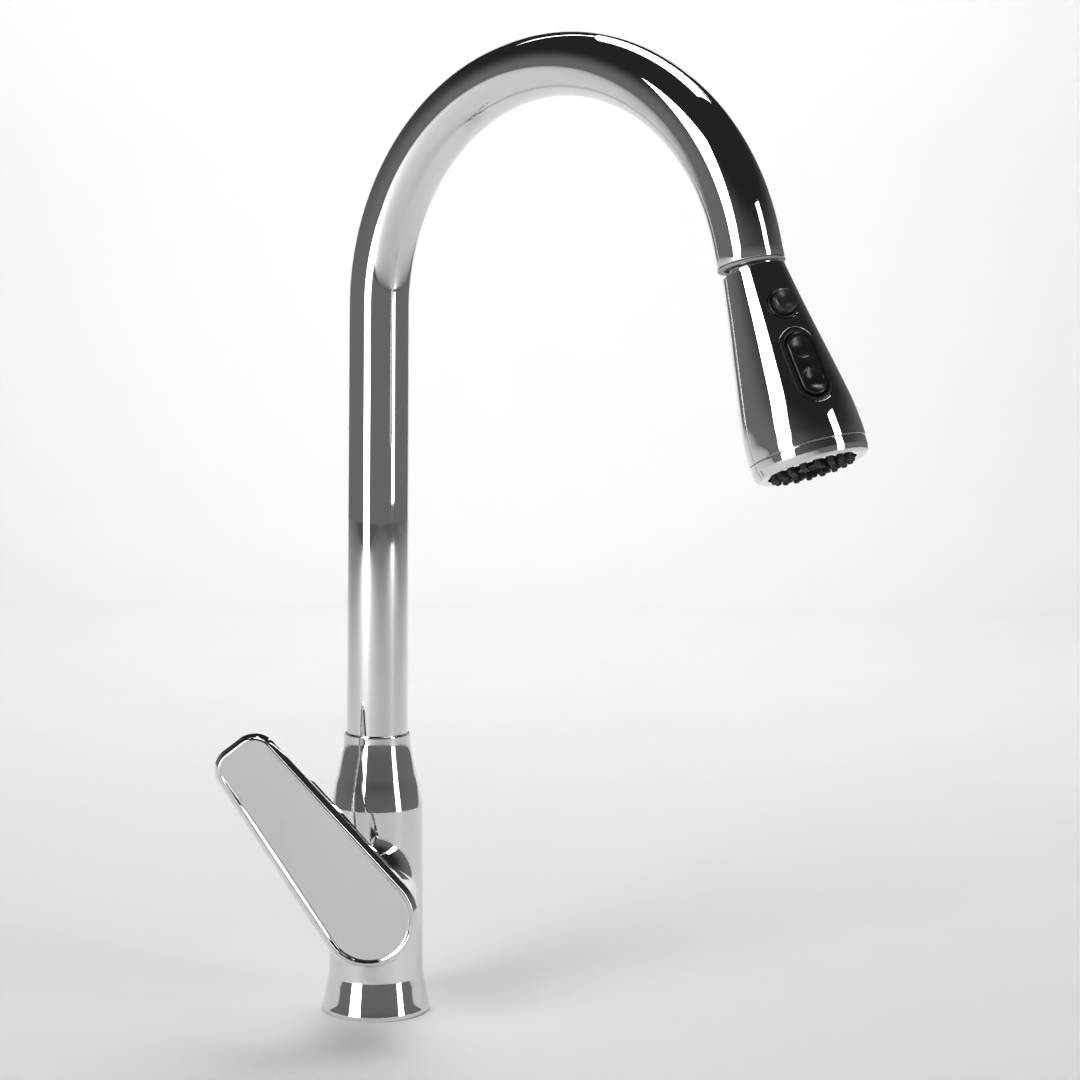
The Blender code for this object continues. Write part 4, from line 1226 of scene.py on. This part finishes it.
def make_hose():
    """The hose: one run fixed in the spout, and a lead out of it towards the head."""
    points, _ = gooseneck_path(SHANK_BOTTOM + 2.0, 0.0, 60, 80)
    mouth = Vector(points[-1])
    to_spout = SPOUT.inverted()
    axis = (to_spout @ (HEAD @ Vector((0, 0, 1))) - to_spout @ (HEAD @ Vector((0, 0, 0)))).normalized()
    joint = mouth + axis * LEAD_TOP
    kept = [i for i, p in enumerate(points) if i < 100 or (Vector(p) - mouth).length > LEAD_TOP + 16]
    route = [Vector(points[i]) for i in kept] + [joint + axis * 6, joint + axis * 2, joint, joint - axis * 2]
    loops = swept([tuple(p) for p in route], [HOSE_R] * len(route), None, 28)
    verts, faces = loops_data(loops)
    count = len(loops[0])
    faces.append(list(range(count)))
    faces.append(list(range(len(verts) - count, len(verts))))
    piece("spray_hose_run", verts, faces, SPOUT, BRAID, "spout", ["spray_hose"])
    loops = []
    for k in range(LEAD_RINGS + 1):
        share = k / LEAD_RINGS
        t = 0.5 - sin(asin(1 - 2 * share) / 3)
        z = LEAD_TOP + (LEAD_END - LEAD_TOP) * t
        loops.append([(HOSE_R * cos(2 * pi * i / 28), HOSE_R * sin(2 * pi * i / 28), z) for i in range(28)])
    verts, faces = loops_data(loops)
    faces.append(list(range(28)))
    faces.append(list(range(len(verts) - 28, len(verts))))
    lead = piece("spray_hose_lead", verts, faces, HEAD, BRAID, None, ["spray_hose"])
    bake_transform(lead)


def make_plug():
    profile = rounded([(0, 0.30), (1.5, 0.22, 0.6), (2.3, -0.1, 0.3), (2.35, -2.2, 0.2), (0, -2.2)])
    heel = Matrix.Translation(LEVER @ Vector((0, -LEVER_HUB_R, 16.2))) @ LEVER.to_3x3().to_4x4() @ \
        Matrix.Rotation(radians(90), 4, "X")
    lathe("plug_cap", profile, heel, RUBBER, "lever", ["set_screw_plug"], closed=False,
          longest=0.5)


# --- CAD pieces that stay ---------------------------------------------------------------------------


def make_pause_coil():
    """The spring under the pause button."""
    coil = bpy.data.objects.new("pause_coil", frame["nodes"]["pause_spring"].data.copy())
    bpy.context.scene.collection.objects.link(coil)
    coil.data.materials.clear()
    coil.data.materials.append(STEEL)
    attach(coil, "spray_head")
    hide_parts("pause_spring")
    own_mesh(coil)


def dress_cad_nodes():
    looks = {
        BRASS: ("swivel_sleeve", "bonnet_nut", "hose_head_fitting"),
        STEEL: ("spout_grub_screw", "stem_pin", "valve_stem", "lever_set_screw", "rocker_pin",
                "diverter_spool"),
        WHITE: ("cartridge_base", "cartridge_housing", "glide_washer", "check_valve"),
        BLACK: ("cartridge_turret", "disc_driver", "waterway_core"),
        RUBBER: ("base_gasket", "cartridge_seal", "sleeve_o_ring_upper", "sleeve_o_ring_lower",
                 "face_o_ring"),
        CERAMIC: ("ceramic_fixed_disc", "ceramic_moving_disc"),
    }
    for look, nodes in looks.items():
        for node in nodes:
            materials = frame["nodes"][node].data.materials
            materials.clear()
            materials.append(look)


# --- Floor, camera and light ------------------------------------------------------------------------

CAMERA_AT = (75.5, -1060.8, 313.5)
CAMERA_YAW = 0.025
CAMERA_PITCH = -4.775
CAMERA_ROLL = 0.63
CAMERA_LENS = 75.56
FLOOR_REACH = 3200.0
FLOOR_HOLE_R = 16.5
BACKDROP_HALF_WIDTH = 1150.0
BACKDROP_START = 1500.0
BACKDROP_Y = 2300.0
BACKDROP_TOP = 2400.0
BACKDROP_UNDER_FLOOR = -1.5
SWEEP_R = 600.0
STUDIO_GREY = 0.16
CEILING_GREY = 0.02
CEILING_STARTS = 0.6


def make_camera():
    yaw, pitch, roll = (radians(a) for a in (CAMERA_YAW, CAMERA_PITCH, CAMERA_ROLL))
    ahead = Vector((sin(yaw) * cos(pitch), cos(yaw) * cos(pitch), sin(pitch)))
    right = Vector((cos(yaw), -sin(yaw), 0))
    up = right.cross(ahead)
    side = right * cos(roll) + up * sin(roll)
    top = up * cos(roll) - right * sin(roll)
    data = bpy.data.cameras.new("camera")
    data.lens = CAMERA_LENS
    data.sensor_width = 36.0
    data.clip_start = 0.01
    camera = bpy.data.objects.new("camera", data)
    camera.matrix_world = Matrix.Translation(Vector(CAMERA_AT) * MM) @ \
        Matrix((side, top, -ahead)).transposed().to_4x4()
    bpy.context.scene.collection.objects.link(camera)
    bpy.context.scene.camera = camera


def stage_sheet(name, verts, faces, look, smooth=False):
    """Makes a plain sheet of the studio, which isn't part of the faucet."""
    mesh = bpy.data.meshes.new(name)
    mesh.from_pydata([WORLD @ Vector(v) for v in verts], [], faces)
    if smooth:
        mesh.shade_smooth()
    sheet = bpy.data.objects.new(name, mesh)
    bpy.context.scene.collection.objects.link(sheet)
    sheet.data.materials.append(look.material)


def make_floor():
    """A plain pale worktop with a hole for the shank."""
    profile = [(FLOOR_HOLE_R, 0.0), (60.0, 0.0), (300.0, 0.0), (FLOOR_REACH, 0.0), (FLOOR_REACH, -WORKTOP),
               (FLOOR_HOLE_R, -WORKTOP)]
    verts, faces = lathe_data(profile, 128, True)
    look = Look("pale_worktop", (0.90, 0.90, 0.90), 0.7)
    look.set("Base Color", look.mixed(look.noise(9.0, 4.0), (0.90, 0.90, 0.90), (0.93, 0.93, 0.93)))
    stage_sheet("worktop", verts, faces, look)


def direction(azimuth, elevation):
    """A unit vector: azimuth 0 is towards the viewer, 90 is to the right, and elevation 90 is up."""
    a, e = radians(azimuth), radians(elevation)
    return Vector((sin(a) * cos(e), -cos(a) * cos(e), sin(e)))


def make_backdrop():
    """A plain pale sheet behind the faucet that sweeps up from the worktop."""
    profile = rounded([(BACKDROP_START, BACKDROP_UNDER_FLOOR), (BACKDROP_Y, BACKDROP_UNDER_FLOOR, SWEEP_R),
                       (BACKDROP_Y, BACKDROP_TOP)], False, 16)
    verts = [(x, y, z) for y, z in profile for x in (-BACKDROP_HALF_WIDTH, BACKDROP_HALF_WIDTH)]
    faces = [(2 * k, 2 * k + 1, 2 * k + 3, 2 * k + 2) for k in range(len(profile) - 1)]
    look = Look("pale_backdrop_paper", (0.92, 0.92, 0.92), 0.9)
    look.set("Base Color", look.mixed(look.noise(5.0, 3.0), (0.91, 0.91, 0.91), (0.93, 0.93, 0.93)))
    stage_sheet("backdrop", verts, faces, look, smooth=True)


def lamp(name, place, away, width, height, watts):
    """A plain white rectangular lamp at a place in metres, with its back turned the way of away."""
    data = bpy.data.lights.new(name, "AREA")
    data.shape = "RECTANGLE"
    data.size, data.size_y = width, height
    data.energy = watts
    made = bpy.data.objects.new(name, data)
    made.location = place
    made.rotation_euler = away.to_track_quat("Z", "Y").to_euler()
    bpy.context.scene.collection.objects.link(made)


def softbox(name, azimuth, elevation, distance, width, height, watts, aim=0.2):
    """A studio softbox turned to a point this high over the worktop, in metres."""
    away = direction(azimuth, elevation)
    lamp(name, away * distance + Vector((0.0, 0.0, aim)), away, width, height, watts)


def make_studio_air():
    """A plain neutral studio: grey at eye level and dark overhead, the same all round."""
    world = bpy.data.worlds.new("studio")
    world.use_nodes = True
    bpy.context.scene.world = world
    nodes, links = world.node_tree.nodes, world.node_tree.links
    nodes.clear()
    place = nodes.new("ShaderNodeTexCoord")
    parts = nodes.new("ShaderNodeSeparateXYZ")
    height = nodes.new("ShaderNodeMapRange")
    height.inputs["From Min"].default_value = 0.0
    height.inputs["From Max"].default_value = CEILING_STARTS
    height.interpolation_type = "SMOOTHSTEP"
    fade = nodes.new("ShaderNodeMix")
    fade.data_type = "RGBA"
    fade.inputs[6].default_value = (STUDIO_GREY, STUDIO_GREY, STUDIO_GREY, 1.0)
    fade.inputs[7].default_value = (CEILING_GREY, CEILING_GREY, CEILING_GREY, 1.0)
    air = nodes.new("ShaderNodeBackground")
    out = nodes.new("ShaderNodeOutputWorld")
    links.new(place.outputs["Generated"], parts.inputs[0])
    links.new(parts.outputs["Z"], height.inputs["Value"])
    links.new(height.outputs["Result"], fade.inputs[0])
    links.new(fade.outputs[2], air.inputs["Color"])
    links.new(air.outputs[0], out.inputs["Surface"])


# --- The whole faucet -------------------------------------------------------------------------------

make_camera()
make_casting()
make_dome_cap()
make_lever()
make_plug()
make_gooseneck()
make_docking_ring()
make_hose()
make_head_shell()
make_head_neck()
make_face_ring()
make_nozzle_plate()
make_nozzles()
make_aerator()
make_pause_button()
make_pause_coil()
make_rocker()
make_shank()
make_fixings()
dress_cad_nodes()
make_floor()
make_backdrop()
make_studio_air()
softbox("key_softbox", -42, 20, 2.4, 1.1, 2.0, 38.0, aim=0.12)
softbox("fill_softbox", 60, 18, 2.6, 0.6, 1.8, 14.0, aim=0.12)
softbox("top_softbox", 150, 72, 2.2, 1.4, 0.9, 18.0)
lamp("backdrop_lamp", (0.0, 0.9, 2.0), Vector((0.0, -1.0, 0.75)), 2.0, 0.6, 26.0)
bpy.context.scene.view_settings.view_transform = "Standard"
